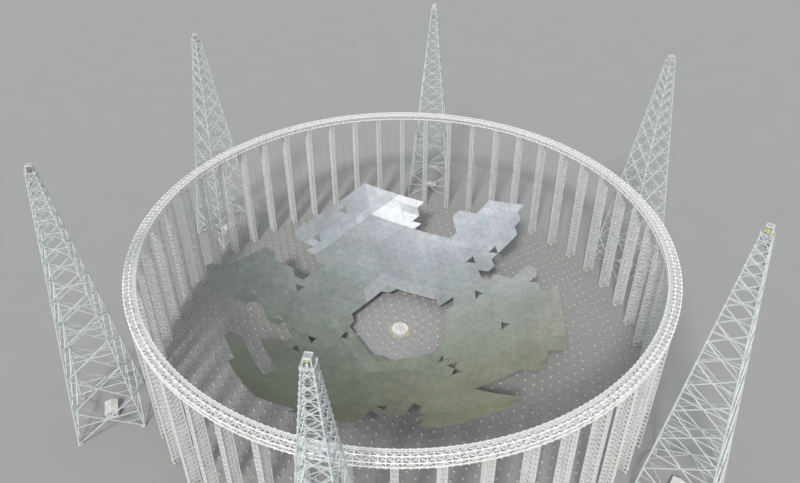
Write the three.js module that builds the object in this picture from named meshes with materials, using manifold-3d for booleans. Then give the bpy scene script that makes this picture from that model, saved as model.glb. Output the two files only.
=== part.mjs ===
// A fixed spherical radio telescope dish under construction, as a 1:20 scale model.
// Every named size is the real one in metres; METRE turns it into the model's millimetres.
// The origin is on the floor under the centre of the dish, +Z up.
import * as THREE from 'three';
import { mergeVertices } from 'three/addons/utils/BufferGeometryUtils.js';
import Module from 'manifold-3d';

const wasm = await Module();
wasm.setup();

// Scale
const SCALE = 20;
const METRE = 1000 / SCALE;
const GAP = 0.3 / METRE;
const DEGREE = Math.PI / 180;
const WELD = 1e-5;

// A cutting tool runs this far past what it cuts
const OVERSHOOT = 10;

// Reflector sphere and its rim
const SPHERE_RADIUS = 300;
const FACET_SWELL = 0.8;
const RIM_RADIUS = 250;
const RING_TOP = 142;
const RING_HEIGHT = 5.5;
const RIM_HEIGHT = RING_TOP - RING_HEIGHT / 2;
const SPHERE_CENTRE = RIM_HEIGHT + Math.sqrt(SPHERE_RADIUS ** 2 - RIM_RADIUS ** 2);

// Ring truss and its columns
const COLUMNS = 50;
const BAY = 360 / COLUMNS;
const RING_SECTORS = 5;
const RING_INNER = 250.4;
const RING_OUTER = 261.5;
const CHORD = 0.9;
const FRAME_THICK = 0.9;
const COLUMN_WIDE = 5.5;
const COLUMN_DEEP = 10.4;
const COLUMN_LEG = 1.2;
const COLUMN_CAP = 2.4;
const TIE_BEAM = [1.4, 1.2];
const COLUMN_ROWS = 10;

// Cable net: five spherical triangles round the centre, cut into equal steps
const FOLDS = 5;
const FOLD = 360 / FOLDS;
const NET_AZIMUTH = 24.2;
const NET_EDGE = 63.435;
const NET_STEPS = 6;
const NET_THICK = 0.8;
const NET_CABLE = 1.3;
const NET_RIM_BAND = 2.0;
const SMALLEST_MESH = 60;
const TIE = 0.8;

// Reflector panels and the hole in the middle
const PANEL_THICK = 1.0;
const HOLE_STEPS = 6;
const PANEL_STEPS = 32;
// The outer rows lie a little further out than even steps would put them
const OUTER_FROM = 16;
const OUTER_STRETCH = 0.05;
// Edge of the panels laid in each fold as [row, place], from its first ridge round to its second
const PANEL_EDGES = [
  [[13, 0], [14, 1], [18, 1], [19, 2], [20, 2], [21, 3], [22, 3], [22, 7], [20, 7], [20, 9], [19, 9],
    [17, 7], [16, 7], [16, 11], [17, 11], [17, 12], [18, 12], [19, 13], [20, 13], [20, 20]],
  [[20, 0], [20, 10], [19, 10], [17, 8], [17, 9], [16, 8], [15, 8], [14, 7], [14, 10], [15, 11],
    [16, 11], [18, 13], [19, 13], [20, 14], [20, 20]],
  [[20, 0], [21, 1], [21, 0], [22, 1], [22, 4], [21, 3], [18, 3], [17, 2], [16, 2], [16, 4], [15, 4],
    [14, 3], [14, 5], [15, 6], [16, 6], [17, 7], [18, 7], [18, 11], [20, 13], [20, 8], [21, 8],
    [22, 9], [22, 12], [23, 13], [23, 18], [20, 18], [21, 19], [19, 19]],
  [[19, 0], [19, 3], [16, 3], [17, 4], [17, 6], [15, 6], [16, 7], [17, 7], [18, 8], [18, 7], [19, 8],
    [20, 8], [21, 9], [21, 16], [20, 15], [20, 16], [15, 11], [15, 15]],
  [[17, 0], [18, 1], [18, 3], [20, 3], [20, 12], [19, 11], [18, 11], [18, 12], [17, 12], [18, 13],
    [18, 14], [17, 14], [15, 12], [13, 12], [12, 11], [11, 11]],
];
const LONGEST_SIDE = 4;

// Towers: square and tapered, with a flat side to the dish
const TOWERS = 6;
const TOWER_AZIMUTH = 13.94;
const TOWER_CIRCLE = 300;
const TOWER_TOP = RING_TOP + 129.5;
const TOWER_TOP_WIDE = 7.3;
const TOWER_TAPER = 0.193;
// Heights where the diagonals meet the legs; the short bays near the top are taken together
const TOWER_NODES = [37.5, 74.6, 106.4, 134.2, 157.8, 178.1, 196.4, 225, 246.1];
const TOWER_WALL = 1.0;
const TOWER_LEG = 1.6;
const TOWER_BRACE = 1.0;
const TOWER_CAP = 1.2;

// Tower head: a deck, an open frame on it that narrows upwards, and the pulley in the frame
const HEAD_DECK = [8.0, 8.0, 0.8];
const HEAD_SLOT = [4.8, 1.8];
const HEAD_WIDE = 6.2;
const HEAD_TOP_WIDE = 4.6;
const HEAD_HIGH = 6.9;
const HEAD_POST = 0.9;
const HEAD_ROOF = 0.9;
const PULLEY = [2.05, 0.9];
const PULLEY_HEIGHT = 2.4;
const PULLEY_ROUND = 12;
const AXLE = 0.35;
const AXLE_ROUND = 6;

// Winch house at a tower's foot
const WINCH_HOUSE = [12, 17, 6.5];
const WINCH_ROOF = 1.6;

// Docking platform in the middle
const ROUND = 24;
const DOCK_BASE = [[12.5, 0], [12.5, 1.1], [10.9, 1.1], [10.9, 2.2]];
const DOCK_RING = [9.4, 2.2, 3.4];
const DOCK_DISC = [6.0, 3.9];

// Colours
const WHITE_STEEL = { color: 0xdfe2e4, roughness: 0.5, metalness: 0.1 };
const TOWER_STEEL = { color: 0xb9c6cb, roughness: 0.5, metalness: 0.3 };
const CABLE_STEEL = { color: 0x8f979b, roughness: 0.45, metalness: 0.8 };
const PANEL_ALUMINIUM = { color: 0x9aa6a6, roughness: 0.4, metalness: 0.7 };
const CONCRETE = { color: 0xb5ada0, roughness: 0.9, metalness: 0.0 };
const WHITE_PAINT = { color: 0xf0f1f0, roughness: 0.5, metalness: 0.0 };

// Solids

function solidOf(geometry) {
  const bare = geometry.index ? geometry.toNonIndexed() : geometry.clone();
  bare.deleteAttribute('normal');
  bare.deleteAttribute('uv');
  const merged = mergeVertices(bare, WELD);
  const triangles = [];
  for (let i = 0; i < merged.index.count; i += 3) {
    const [a, b, c] = merged.index.array.slice(i, i + 3);
    if (a !== b && b !== c && c !== a) {
      triangles.push(a, b, c);
    }
  }
  return new wasm.Manifold(new wasm.Mesh({
    numProp: 3,
    vertProperties: new Float32Array(merged.attributes.position.array),
    triVerts: new Uint32Array(triangles),
  }));
}

function geometryOf(solid) {
  const mesh = solid.getMesh();
  const geometry = new THREE.BufferGeometry();
  geometry.setAttribute('position', new THREE.BufferAttribute(new Float32Array(mesh.vertProperties), 3));
  geometry.setIndex(new THREE.BufferAttribute(new Uint32Array(mesh.triVerts), 1));
  return geometry;
}

function join(solids) {
  return solids.reduce((sum, next) => sum.add(next));
}

function cut(body, tools) {
  return tools.reduce((rest, tool) => rest.subtract(tool), body);
}

function prism(points, low, high) {
  const outline = new THREE.Shape(points.map(([x, y]) => new THREE.Vector2(x, y)));
  const geometry = new THREE.ExtrudeGeometry(outline, { depth: high - low, bevelEnabled: false });
  geometry.translate(0, 0, low);
  return geometry;
}

function upright(points) {
  // A cutting tool with this plan, from below the floor to above the towers
  return solidOf(prism(points, -OVERSHOOT, TOWER_TOP + OVERSHOOT));
}

function box(size, centre, turn = 0) {
  const geometry = new THREE.BoxGeometry(...size);
  geometry.translate(...centre);
  geometry.rotateZ(turn);
  return geometry;
}

// Plane geometry

function polar(radius, azimuth) {
  return [radius * Math.cos(azimuth * DEGREE), radius * Math.sin(azimuth * DEGREE)];
}

function inset(points, margin) {
  // Moves each side of a convex outline inwards, and finds the corners again
  const count = points.length;
  const lines = points.map((point, i) => {
    const next = points[(i + 1) % count];
    const along = new THREE.Vector2(next[0] - point[0], next[1] - point[1]).normalize();
    return { x: point[0] - along.y * margin, y: point[1] + along.x * margin, along };
  });
  return lines.map((line, i) => {
    const last = lines[(i + count - 1) % count];
    const cross = last.along.x * line.along.y - last.along.y * line.along.x;
    const reach = ((line.x - last.x) * line.along.y - (line.y - last.y) * line.along.x) / cross;
    return [last.x + last.along.x * reach, last.y + last.along.y * reach];
  });
}

// Sphere grid

function sphereRay(reach, azimuth) {
  const [x, y] = polar(Math.sin(reach), azimuth);
  return new THREE.Vector3(x, y, -Math.cos(reach));
}

function gridPoint(fold, row, place, steps, drop = 0) {
  // Row 0 is the centre; a row runs from one ridge to the next in as many steps as its number.
  // The swell sets the flat cells half inside and half outside the true sphere.
  const reach = NET_EDGE * DEGREE * row / steps;
  const near = sphereRay(reach, NET_AZIMUTH + fold * FOLD);
  const far = sphereRay(reach, NET_AZIMUTH + (fold + 1) * FOLD);
  const between = near.angleTo(far);
  const share = row ? place / row : 0;
  const ray = row ? near.clone().multiplyScalar(Math.sin((1 - share) * between)) : near.clone();
  ray.addScaledVector(far, row ? Math.sin(share * between) : 0);
  ray.setLength(SPHERE_RADIUS + FACET_SWELL - drop);
  return ray.add(new THREE.Vector3(0, 0, SPHERE_CENTRE));
}

function foldCells(steps) {
  // Each cell of a fold as three [row, place] corners, anticlockwise from above
  const cells = [];
  for (let row = 0; row < steps; row += 1) {
    for (let place = 0; place <= row; place += 1) {
      cells.push([[row, place], [row + 1, place], [row + 1, place + 1]]);
      if (place < row) {
        cells.push([[row, place], [row + 1, place + 1], [row, place + 1]]);
      }
    }
  }
  return cells;
}

function foldShell(fold, low, high) {
  // A closed shell over one fold: low and high are the drops of its two faces inside the sphere
  const ids = new Map();
  const positions = [];
  const index = [];
  const vertex = (row, place, drop) => {
    const key = `${row} ${place} ${drop}`;
    if (!ids.has(key)) {
      const point = gridPoint(fold, row, place, NET_STEPS, drop);
      ids.set(key, positions.length / 3);
      positions.push(point.x, point.y, point.z);
    }
    return ids.get(key);
  };
  for (const [a, b, c] of foldCells(NET_STEPS)) {
    index.push(vertex(...a, high), vertex(...b, high), vertex(...c, high));
    index.push(vertex(...c, low), vertex(...b, low), vertex(...a, low));
  }
  const wall = (a, b) => {
    index.push(vertex(...a, high), vertex(...a, low), vertex(...b, low));
    index.push(vertex(...a, high), vertex(...b, low), vertex(...b, high));
  };
  for (let step = 0; step < NET_STEPS; step += 1) {
    wall([step, 0], [step + 1, 0]);
    wall([NET_STEPS, step], [NET_STEPS, step + 1]);
    wall([step + 1, step + 1], [step, step]);
  }
  const geometry = new THREE.BufferGeometry();
  geometry.setAttribute('position', new THREE.Float32BufferAttribute(positions, 3));
  geometry.setIndex(index);
  return solidOf(geometry);
}

function foldWedge(fold, reach) {
  // The plan of one fold, kept clear of the next fold by half the gap on either side
  const [first, last] = [NET_AZIMUTH + fold * FOLD, NET_AZIMUTH + (fold + 1) * FOLD];
  const beyond = reach / Math.cos(FOLD / 2 * DEGREE);
  const corners = [[0, 0], polar(reach, first), polar(beyond, (first + last) / 2), polar(reach, last)];
  return upright(inset(corners, GAP / 2));
}

function ringPolygon(radius) {
  // Corners at the columns' lines
  return Array.from({ length: COLUMNS }, (_, i) => polar(radius, NET_AZIMUTH + i * BAY));
}

// Ring truss

function ringSectorOutline(first, last, inner, outer) {
  // first and last are bay numbers; a half number cuts the bay in the middle
  const azimuth = (bay) => NET_AZIMUTH + bay * BAY;
  const cutRadius = (radius) => radius * Math.cos(BAY / 2 * DEGREE);
  const trim = GAP / 2 / RING_OUTER / DEGREE;
  const stations = [];
  for (let bay = Math.ceil(first); bay <= Math.floor(last); bay += 1) {
    stations.push(bay);
  }
  const arc = (radius) => [
    polar(cutRadius(radius), azimuth(first) + trim),
    ...stations.map((bay) => polar(radius, azimuth(bay))),
    polar(cutRadius(radius), azimuth(last) - trim),
  ];
  return [...arc(outer), ...arc(inner).reverse()];
}

function ringTruss(sector) {
  const bays = COLUMNS / RING_SECTORS;
  const first = sector * bays - bays / 2 + 0.5;
  const last = first + bays;
  const low = RING_TOP - RING_HEIGHT;
  const body = solidOf(prism(ringSectorOutline(first, last, RING_INNER, RING_OUTER), low, RING_TOP));
  const windows = [];
  for (let bay = Math.floor(first); bay < last; bay += 1) {
    const middle = NET_AZIMUTH + (bay + 0.5) * BAY;
    const half = BAY / 2 * DEGREE;
    const innerMid = RING_INNER * Math.cos(half) + CHORD;
    const outerMid = RING_OUTER * Math.cos(half) - CHORD;
    const clear = FRAME_THICK / 2;
    const side = (radius) => radius * Math.tan(half) - clear;
    const plan = [[innerMid, -side(innerMid)], [outerMid, -side(outerMid)],
      [outerMid, side(outerMid)], [innerMid, side(innerMid)]];
    const down = prism(plan, low - OVERSHOOT, RING_TOP + OVERSHOOT);
    down.rotateZ(middle * DEGREE);
    windows.push(solidOf(down));
    const wide = 2 * side(innerMid);
    const high = RING_TOP - low - 2 * CHORD;
    const through = box([RING_OUTER - RING_INNER + OVERSHOOT, wide, high], [(RING_INNER + RING_OUTER) / 2, 0,
      (RING_TOP + low) / 2], middle * DEGREE);
    windows.push(solidOf(through));
  }
  return cut(body, windows);
}

// Columns

function column(azimuth) {
  // Four legs under the ring's four chords, joined by a cap
  const centre = (RING_INNER + RING_OUTER) / 2;
  const top = RING_TOP - RING_HEIGHT - GAP;
  const legs = top - COLUMN_CAP;
  const turn = azimuth * DEGREE;
  const body = solidOf(box([COLUMN_DEEP, COLUMN_WIDE, top], [centre, 0, top / 2], turn));
  const between = [
    [COLUMN_DEEP - 2 * COLUMN_LEG, COLUMN_WIDE * 2, 2 * legs],
    [COLUMN_DEEP * 2, COLUMN_WIDE - 2 * COLUMN_LEG, 2 * legs],
  ];
  return cut(body, between.map((size) => solidOf(box(size, [centre, 0, 0], turn))));
}

function columnRow(row) {
  // The tie beam runs through the caps of the row's columns
  const count = COLUMNS / COLUMN_ROWS;
  const first = row * count - 0.5;
  const [wide, high] = TIE_BEAM;
  const inner = (RING_INNER + RING_OUTER - wide) / 2;
  const middle = RING_TOP - RING_HEIGHT - COLUMN_CAP / 2;
  const outline = ringSectorOutline(first, first + count, inner, inner + wide);
  const solids = [solidOf(prism(outline, middle - high / 2, middle + high / 2))];
  for (let place = 0; place < count; place += 1) {
    solids.push(column(NET_AZIMUTH + (row * count + place) * BAY));
  }
  return join(solids);
}

// Cable net

function cableNet(fold) {
  const rim = upright(ringPolygon(RING_INNER - GAP));
  const inside = upright(ringPolygon(RING_INNER - NET_RIM_BAND));
  const shell = foldShell(fold, 0, NET_THICK);
  const net = shell.intersect(rim).intersect(foldWedge(fold, TOWER_CIRCLE));
  const meshes = foldCells(NET_STEPS).slice(1).map((cell) => {
    const corners = cell.map(([row, place]) => gridPoint(fold, row, place, NET_STEPS));
    const plan = corners.map((corner) => [corner.x, corner.y]);
    return upright(inset(plan, NET_CABLE / 2)).intersect(inside);
  });
  const open = meshes.filter((mesh) => mesh.volume() / (TOWER_TOP + 2 * OVERSHOOT) > SMALLEST_MESH);
  return join([cut(net, [upright(middleOutline()), ...open]), ...tieDowns(fold)]);
}

function middleOutline() {
  // The first row of cells is left open round the docking platform
  const outline = [];
  for (let fold = 0; fold < FOLDS; fold += 1) {
    const corner = gridPoint(fold, 1, 0, NET_STEPS);
    outline.push([corner.x, corner.y]);
  }
  return inset(outline, NET_CABLE / 2);
}

function tieDowns(fold) {
  // A tie under each knot that lies inside the fold, down to the floor
  const solids = [];
  for (let row = 2; row < NET_STEPS; row += 1) {
    for (let place = 1; place < row; place += 1) {
      const knot = gridPoint(fold, row, place, NET_STEPS, NET_THICK / 2);
      if (Math.hypot(knot.x, knot.y) < RIM_RADIUS - NET_RIM_BAND) {
        const tie = new THREE.CylinderGeometry(TIE / 2, TIE / 2, knot.z, 3);
        tie.rotateX(Math.PI / 2);
        tie.translate(knot.x, knot.y, knot.z / 2);
        solids.push(solidOf(tie));
      }
    }
  }
  return solids;
}

// Reflector

function holeOutline() {
  // The middle is open for six rows of panels, with the pentagon's corners filled by a panel pair
  const corner = (fold) => {
    const point = gridPoint(fold, HOLE_STEPS, 0, PANEL_STEPS);
    return [point.x, point.y];
  };
  const outline = [];
  for (let fold = 0; fold < FOLDS; fold += 1) {
    const [start, end] = [corner(fold), corner((fold + 1) % FOLDS)];
    for (const share of [1 / HOLE_STEPS, 1 - 1 / HOLE_STEPS]) {
      outline.push([start[0] + (end[0] - start[0]) * share, start[1] + (end[1] - start[1]) * share]);
    }
  }
  return outline;
}

function laidOutline(fold) {
  // Long sides are broken up so that they follow the curve of their row
  const nodes = [[0, 0], ...PANEL_EDGES[fold]];
  const outline = [];
  nodes.forEach(([row, place], i) => {
    const [nextRow, nextPlace] = nodes[(i + 1) % nodes.length];
    const steps = Math.max(Math.abs(nextRow - row), Math.abs(nextPlace - place));
    const parts = Math.ceil(steps / LONGEST_SIDE);
    for (let part = 0; part < parts; part += 1) {
      const along = row + (nextRow - row) * part / parts;
      const across = place + (nextPlace - place) * part / parts;
      const stretch = 1 + OUTER_STRETCH * Math.max(along - OUTER_FROM, 0) / Math.max(along, 1);
      const point = gridPoint(fold, along * stretch, across * stretch, PANEL_STEPS);
      outline.push([point.x, point.y]);
    }
  });
  return outline;
}

function reflector(fold) {
  const shell = foldShell(fold, NET_THICK + GAP, NET_THICK + GAP + PANEL_THICK);
  const laid = shell.intersect(foldWedge(fold, TOWER_CIRCLE)).intersect(upright(laidOutline(fold)));
  return laid.subtract(upright(holeOutline()));
}

// Towers

function towerWide(height) {
  return TOWER_TOP_WIDE + TOWER_TAPER * (TOWER_TOP - height);
}

function frustum(low, high, lowWide, highWide) {
  const geometry = new THREE.CylinderGeometry(highWide / Math.SQRT2, lowWide / Math.SQRT2, high - low, 4);
  geometry.rotateX(Math.PI / 2);
  geometry.rotateZ(Math.PI / 4);
  geometry.translate(0, 0, (low + high) / 2);
  return solidOf(geometry);
}

function towerLevels() {
  // The lowest windows run out through the floor
  return [-TOWER_BRACE, ...TOWER_NODES, TOWER_TOP - TOWER_CAP];
}

function towerWindows() {
  // Two triangles in each bay, on both sides of one diagonal, as plan points [across, up]
  const levels = towerLevels();
  const windows = [];
  for (let bay = 0; bay < levels.length - 1; bay += 1) {
    const [low, high] = [levels[bay], levels[bay + 1]];
    const legLine = (height) => towerWide(height) / 2 - TOWER_LEG + TOWER_BRACE / 2;
    const [wideLow, wideHigh] = [legLine(low), legLine(high)];
    const corners = [[-wideLow, low], [wideLow, low], [wideHigh, high], [-wideHigh, high]];
    const [a, b, c, d] = corners;
    const pair = bay % 2 ? [[a, b, c], [a, c, d]] : [[a, b, d], [b, c, d]];
    windows.push(...pair.map((triangle) => inset(triangle, TOWER_BRACE / 2)));
  }
  return windows;
}

function throughBothWays(outline, reach) {
  // A cutting tool with this upright outline, along Y and along X
  const along = prism(outline, -reach, reach);
  along.rotateX(Math.PI / 2);
  const across = along.clone().rotateZ(Math.PI / 2);
  return [solidOf(along), solidOf(across)];
}

function tower() {
  const hollow = (height) => towerWide(height) - 2 * TOWER_WALL;
  const inside = frustum(-OVERSHOOT, TOWER_TOP - TOWER_CAP, hollow(-OVERSHOOT), hollow(TOWER_TOP - TOWER_CAP));
  const body = frustum(0, TOWER_TOP, towerWide(0), TOWER_TOP_WIDE).subtract(inside);
  return cut(body, towerWindows().flatMap((window) => throughBothWays(window, towerWide(0))));
}

function towerHead() {
  // The frame is open to all sides, and its pulley turns about a tangent of the tower circle
  const [deckX, deckY, deckHigh] = HEAD_DECK;
  const low = TOWER_TOP + GAP;
  const floor = low + deckHigh;
  const roof = low + HEAD_HIGH;
  const axleHeight = low + PULLEY_HEIGHT;
  const wide = (height) => HEAD_WIDE - (HEAD_WIDE - HEAD_TOP_WIDE) * (height - low) / HEAD_HIGH;
  const clear = (height) => wide(height) - 2 * HEAD_POST;
  const half = (height) => clear(height) / 2;
  const block = (size, across, height) => solidOf(box(size, [0, across, height]));
  const round = (radius, length, sides) => {
    const geometry = new THREE.CylinderGeometry(radius, radius, length, sides);
    geometry.translate(0, 0, axleHeight);
    return solidOf(geometry);
  };
  const beam = roof - HEAD_ROOF;
  const window = [[-half(floor), floor], [half(floor), floor], [half(beam), beam], [-half(beam), beam]];
  const frame = cut(frustum(low, roof, HEAD_WIDE, HEAD_TOP_WIDE), [
    frustum(floor, roof + OVERSHOOT, clear(floor), clear(roof + OVERSHOOT)),
    ...throughBothWays(window, HEAD_WIDE),
  ]);
  const deck = block([deckX, deckY, deckHigh], 0, low + deckHigh / 2);
  const slot = block([...HEAD_SLOT, 4 * deckHigh], 0, low);
  const sillLong = wide(axleHeight) - HEAD_POST;
  const sills = [-1, 1].map((side) => block([sillLong, HEAD_POST, HEAD_POST], side * sillLong / 2, axleHeight));
  const wheel = round(...PULLEY, PULLEY_ROUND);
  const axle = round(AXLE, sillLong, AXLE_ROUND);
  return join([join([deck, frame]).subtract(slot), ...sills, wheel, axle]);
}

// Winch house

function winchHouse() {
  const [deep, wide, high] = WINCH_HOUSE;
  const gable = [[-deep / 2, 0], [deep / 2, 0], [deep / 2, high], [0, high + WINCH_ROOF], [-deep / 2, high]];
  const geometry = prism(gable, -wide / 2, wide / 2);
  geometry.rotateX(Math.PI / 2);
  return solidOf(geometry);
}

// Docking platform

function turned(profile) {
  const points = profile.map(([radius, height]) => new THREE.Vector2(radius, height));
  const geometry = new THREE.LatheGeometry(points, ROUND);
  geometry.rotateX(Math.PI / 2);
  return solidOf(geometry);
}

function dockingBase() {
  const [wide, low, high] = DOCK_RING;
  return turned([[0, 0], ...DOCK_BASE, [wide, low], [wide, high], [0, high]]);
}

function dockingPlatform() {
  const low = DOCK_RING[2] + GAP;
  const [wide, high] = DOCK_DISC;
  return turned([[0, low], [wide, low], [wide, high], [0, high]]);
}

// Assembly

const dish = new THREE.Group();

function addPiece(name, solid, finish, azimuth = 0, radius = 0) {
  const mesh = new THREE.Mesh(geometryOf(solid), new THREE.MeshStandardMaterial(finish));
  mesh.name = name;
  const [x, y] = polar(radius, azimuth);
  mesh.position.set(x, y, 0);
  mesh.rotation.z = azimuth * DEGREE;
  dish.add(mesh);
}

for (let sector = 0; sector < RING_SECTORS; sector += 1) {
  addPiece(`ring_truss_${sector + 1}`, ringTruss(sector), WHITE_STEEL);
}
for (let row = 0; row < COLUMN_ROWS; row += 1) {
  addPiece(`column_row_${row + 1}`, columnRow(row), WHITE_STEEL);
}
for (let fold = 0; fold < FOLDS; fold += 1) {
  addPiece(`cable_net_${fold + 1}`, cableNet(fold), CABLE_STEEL);
  addPiece(`reflector_${fold + 1}`, reflector(fold), PANEL_ALUMINIUM);
}
for (let place = 0; place < TOWERS; place += 1) {
  const azimuth = TOWER_AZIMUTH + place * 360 / TOWERS;
  addPiece(`tower_${place + 1}`, tower(), TOWER_STEEL, azimuth, TOWER_CIRCLE);
  addPiece(`tower_head_${place + 1}`, towerHead(), WHITE_PAINT, azimuth, TOWER_CIRCLE);
  addPiece(`winch_house_${place + 1}`, winchHouse(), WHITE_PAINT, azimuth, TOWER_CIRCLE);
}
addPiece('docking_base', dockingBase(), CONCRETE);
addPiece('docking_platform', dockingPlatform(), WHITE_PAINT);

dish.scale.setScalar(METRE);
dish.updateMatrixWorld(true);

export default dish;
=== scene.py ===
"""Radio telescope dish under construction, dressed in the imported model's frame.

Every size is the real one in metres, and METRE turns it into the 1:20 model's.
"""

import logging
import math
from dataclasses import dataclass, field
from enum import Enum
from typing import ClassVar, Sequence

import bpy
import numpy as np
from mathutils import Matrix, Vector


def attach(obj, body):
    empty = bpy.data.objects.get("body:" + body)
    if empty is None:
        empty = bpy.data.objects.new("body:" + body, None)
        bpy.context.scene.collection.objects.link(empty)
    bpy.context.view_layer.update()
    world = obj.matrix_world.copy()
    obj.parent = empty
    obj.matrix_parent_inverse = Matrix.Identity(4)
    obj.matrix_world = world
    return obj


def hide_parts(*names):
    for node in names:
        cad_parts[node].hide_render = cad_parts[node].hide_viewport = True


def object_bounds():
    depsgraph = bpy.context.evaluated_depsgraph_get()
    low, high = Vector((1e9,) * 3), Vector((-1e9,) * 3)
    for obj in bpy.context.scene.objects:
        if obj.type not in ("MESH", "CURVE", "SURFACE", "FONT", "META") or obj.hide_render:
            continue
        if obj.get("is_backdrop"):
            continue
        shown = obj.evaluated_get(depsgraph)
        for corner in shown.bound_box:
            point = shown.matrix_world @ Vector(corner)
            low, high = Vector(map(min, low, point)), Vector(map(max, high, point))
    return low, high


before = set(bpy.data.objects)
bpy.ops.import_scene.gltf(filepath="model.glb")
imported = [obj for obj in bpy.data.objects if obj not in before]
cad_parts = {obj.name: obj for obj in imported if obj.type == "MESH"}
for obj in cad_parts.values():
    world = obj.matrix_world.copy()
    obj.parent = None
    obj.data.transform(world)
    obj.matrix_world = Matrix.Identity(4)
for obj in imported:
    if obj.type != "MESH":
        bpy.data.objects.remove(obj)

Array = np.ndarray
Point = Sequence[float]
Place = tuple[float, float, float]
Size = tuple[float, float, float]
Bevel = tuple[float, float]
Colour = tuple[float, float, float]
Socket = bpy.types.NodeSocket
Pieces = list[bpy.types.Object]

LOG = logging.getLogger("dish")
BODY = "root"
METRE = 1 / 20

# Reflector sphere and rim
SPHERE_RADIUS = 300.0
RIM_RADIUS = 250.0
RING_TOP = 142.0
RING_HEIGHT = 5.5
RING_INNER = 250.4
RING_OUTER = 261.5
RING_MIDDLE = (RING_INNER + RING_OUTER) / 2
SPHERE_CENTRE = RING_TOP - RING_HEIGHT / 2 + math.sqrt(SPHERE_RADIUS**2 - RIM_RADIUS**2)

# Five-fold triangle grid of net and panels
FOLDS = 5
GRID_STEPS = 32
GRID_EDGE = 63.435
GRID_AZIMUTH = 24.2
# Past this many steps the grid's rows lie further apart, by this share
OUTER_FROM = 16
OUTER_STRETCH = 0.05

# Columns and towers
COLUMNS = 50
BAY = 360 / COLUMNS
COLUMN_ROWS = 10
TOWER_AZIMUTH = 13.94
TOWERS = 6
TOWER_CIRCLE = 300.0
TOWER_TOP = 271.5


class Slot(Enum):
    """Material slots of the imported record."""

    WHITE_STEEL = "white_steel"
    CABLE_STEEL = "cable_steel"
    PANEL_ALUMINIUM = "panel_aluminium"
    TOWER_STEEL = "tower_steel"
    WHITE_PAINT = "white_paint"
    CONCRETE = "concrete"


# Materials


class Tree:
    """Short calls for building one material's node tree."""

    def __init__(self, name: str) -> None:
        """Starts a material with one Principled shader.

        Args:
            name: the material's name.
        """
        self.material = bpy.data.materials.new(name)
        self.material.use_nodes = True
        self.nodes = self.material.node_tree.nodes
        self.links = self.material.node_tree.links
        self.shader = self.nodes["Principled BSDF"]
        self.place = self.node("ShaderNodeTexCoord")

    def node(self, kind: str, inputs: dict | None = None, **settings: object) -> bpy.types.Node:
        """Adds a node.

        Args:
            kind: Blender's node type.
            inputs: socket name or index to a value or to another node's socket.
            settings: properties of the node.

        Returns:
            The new node.
        """
        made = self.nodes.new(kind)
        for name, value in settings.items():
            setattr(made, name, value)
        for key, value in (inputs or {}).items():
            if isinstance(value, Socket):
                self.links.new(value, made.inputs[key])
            else:
                made.inputs[key].default_value = value
        return made

    def noise(self, scale: float, detail: float = 4.0, stretch: Point | None = None,
              rough: float = 0.55) -> Socket:
        """A noise factor over the object, stretched along an axis where stretch says so.

        Args:
            scale: how fine the noise is.
            detail: how many finer layers it has.
            stretch: a scale for each axis, or None.
            rough: weight of the finer layers.

        Returns:
            The noise, from 0 to 1.
        """
        where = self.place.outputs["Object"]
        if stretch is not None:
            where = self.node("ShaderNodeMapping", {"Vector": where, "Scale": stretch}).outputs[0]
        made = self.node("ShaderNodeTexNoise",
                         {"Vector": where, "Scale": scale, "Detail": detail, "Roughness": rough})
        return made.outputs["Fac"]

    def ramp(self, factor: Socket, stops: Sequence[tuple[float, Colour | float]]) -> Socket:
        """A colour ramp.

        Args:
            factor: where the ramp is read.
            stops: (position, colour or grey) pairs.

        Returns:
            The ramp's colour.
        """
        made = self.node("ShaderNodeValToRGB", {"Fac": factor})
        elements = made.color_ramp.elements
        while len(elements) < len(stops):
            elements.new(0.5)
        for element, (position, value) in zip(elements, stops):
            shade = (value,) * 3 if isinstance(value, float) else value
            element.position = position
            element.color = (*shade, 1.0)
        return made.outputs["Color"]

    def mix(self, factor: Socket | float, first: object, second: object, blend: str = "MIX") -> Socket:
        """Mixes two colours.

        Args:
            factor: share of the second one.
            first: a colour or a socket.
            second: a colour or a socket.
            blend: how they are mixed.

        Returns:
            The mixed colour.
        """
        made = self.node("ShaderNodeMix", data_type="RGBA", blend_type=blend)
        for key, value in ((0, factor), (6, first), (7, second)):
            if isinstance(value, Socket):
                self.links.new(value, made.inputs[key])
            else:
                made.inputs[key].default_value = (*value, 1.0) if isinstance(value, tuple) else value
        return made.outputs[2]

    def math(self, operation: str, first: object, second: object) -> Socket:
        """One math operation on numbers or sockets."""
        return self.node("ShaderNodeMath", {0: first, 1: second}, operation=operation).outputs[0]

    def tone(self) -> Socket:
        """The tone that each face carries, from 0 to 1."""
        return self.node("ShaderNodeAttribute", attribute_name="tone").outputs["Fac"]

    def bump(self, height: Socket, strength: float, distance: float) -> None:
        """Bends the shader's normal by a height, on top of any earlier bump.

        Args:
            height: the height, from 0 to 1.
            strength: share of the full effect.
            distance: how high 1 is, in the model's metres.
        """
        inputs = {"Height": height, "Strength": strength, "Distance": distance}
        earlier = self.shader.inputs["Normal"].links
        if earlier:
            inputs["Normal"] = earlier[0].from_socket
        made = self.node("ShaderNodeBump", inputs)
        self.links.new(made.outputs[0], self.shader.inputs["Normal"])

    def feed(self, **sockets: object) -> None:
        """Links or sets the shader's inputs, with _ for a blank in a name.

        Args:
            sockets: a value or another node's socket for each input.
        """
        for name, value in sockets.items():
            target = self.shader.inputs[name.replace("_", " ")]
            if isinstance(value, Socket):
                self.links.new(value, target)
            else:
                target.default_value = value


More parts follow.
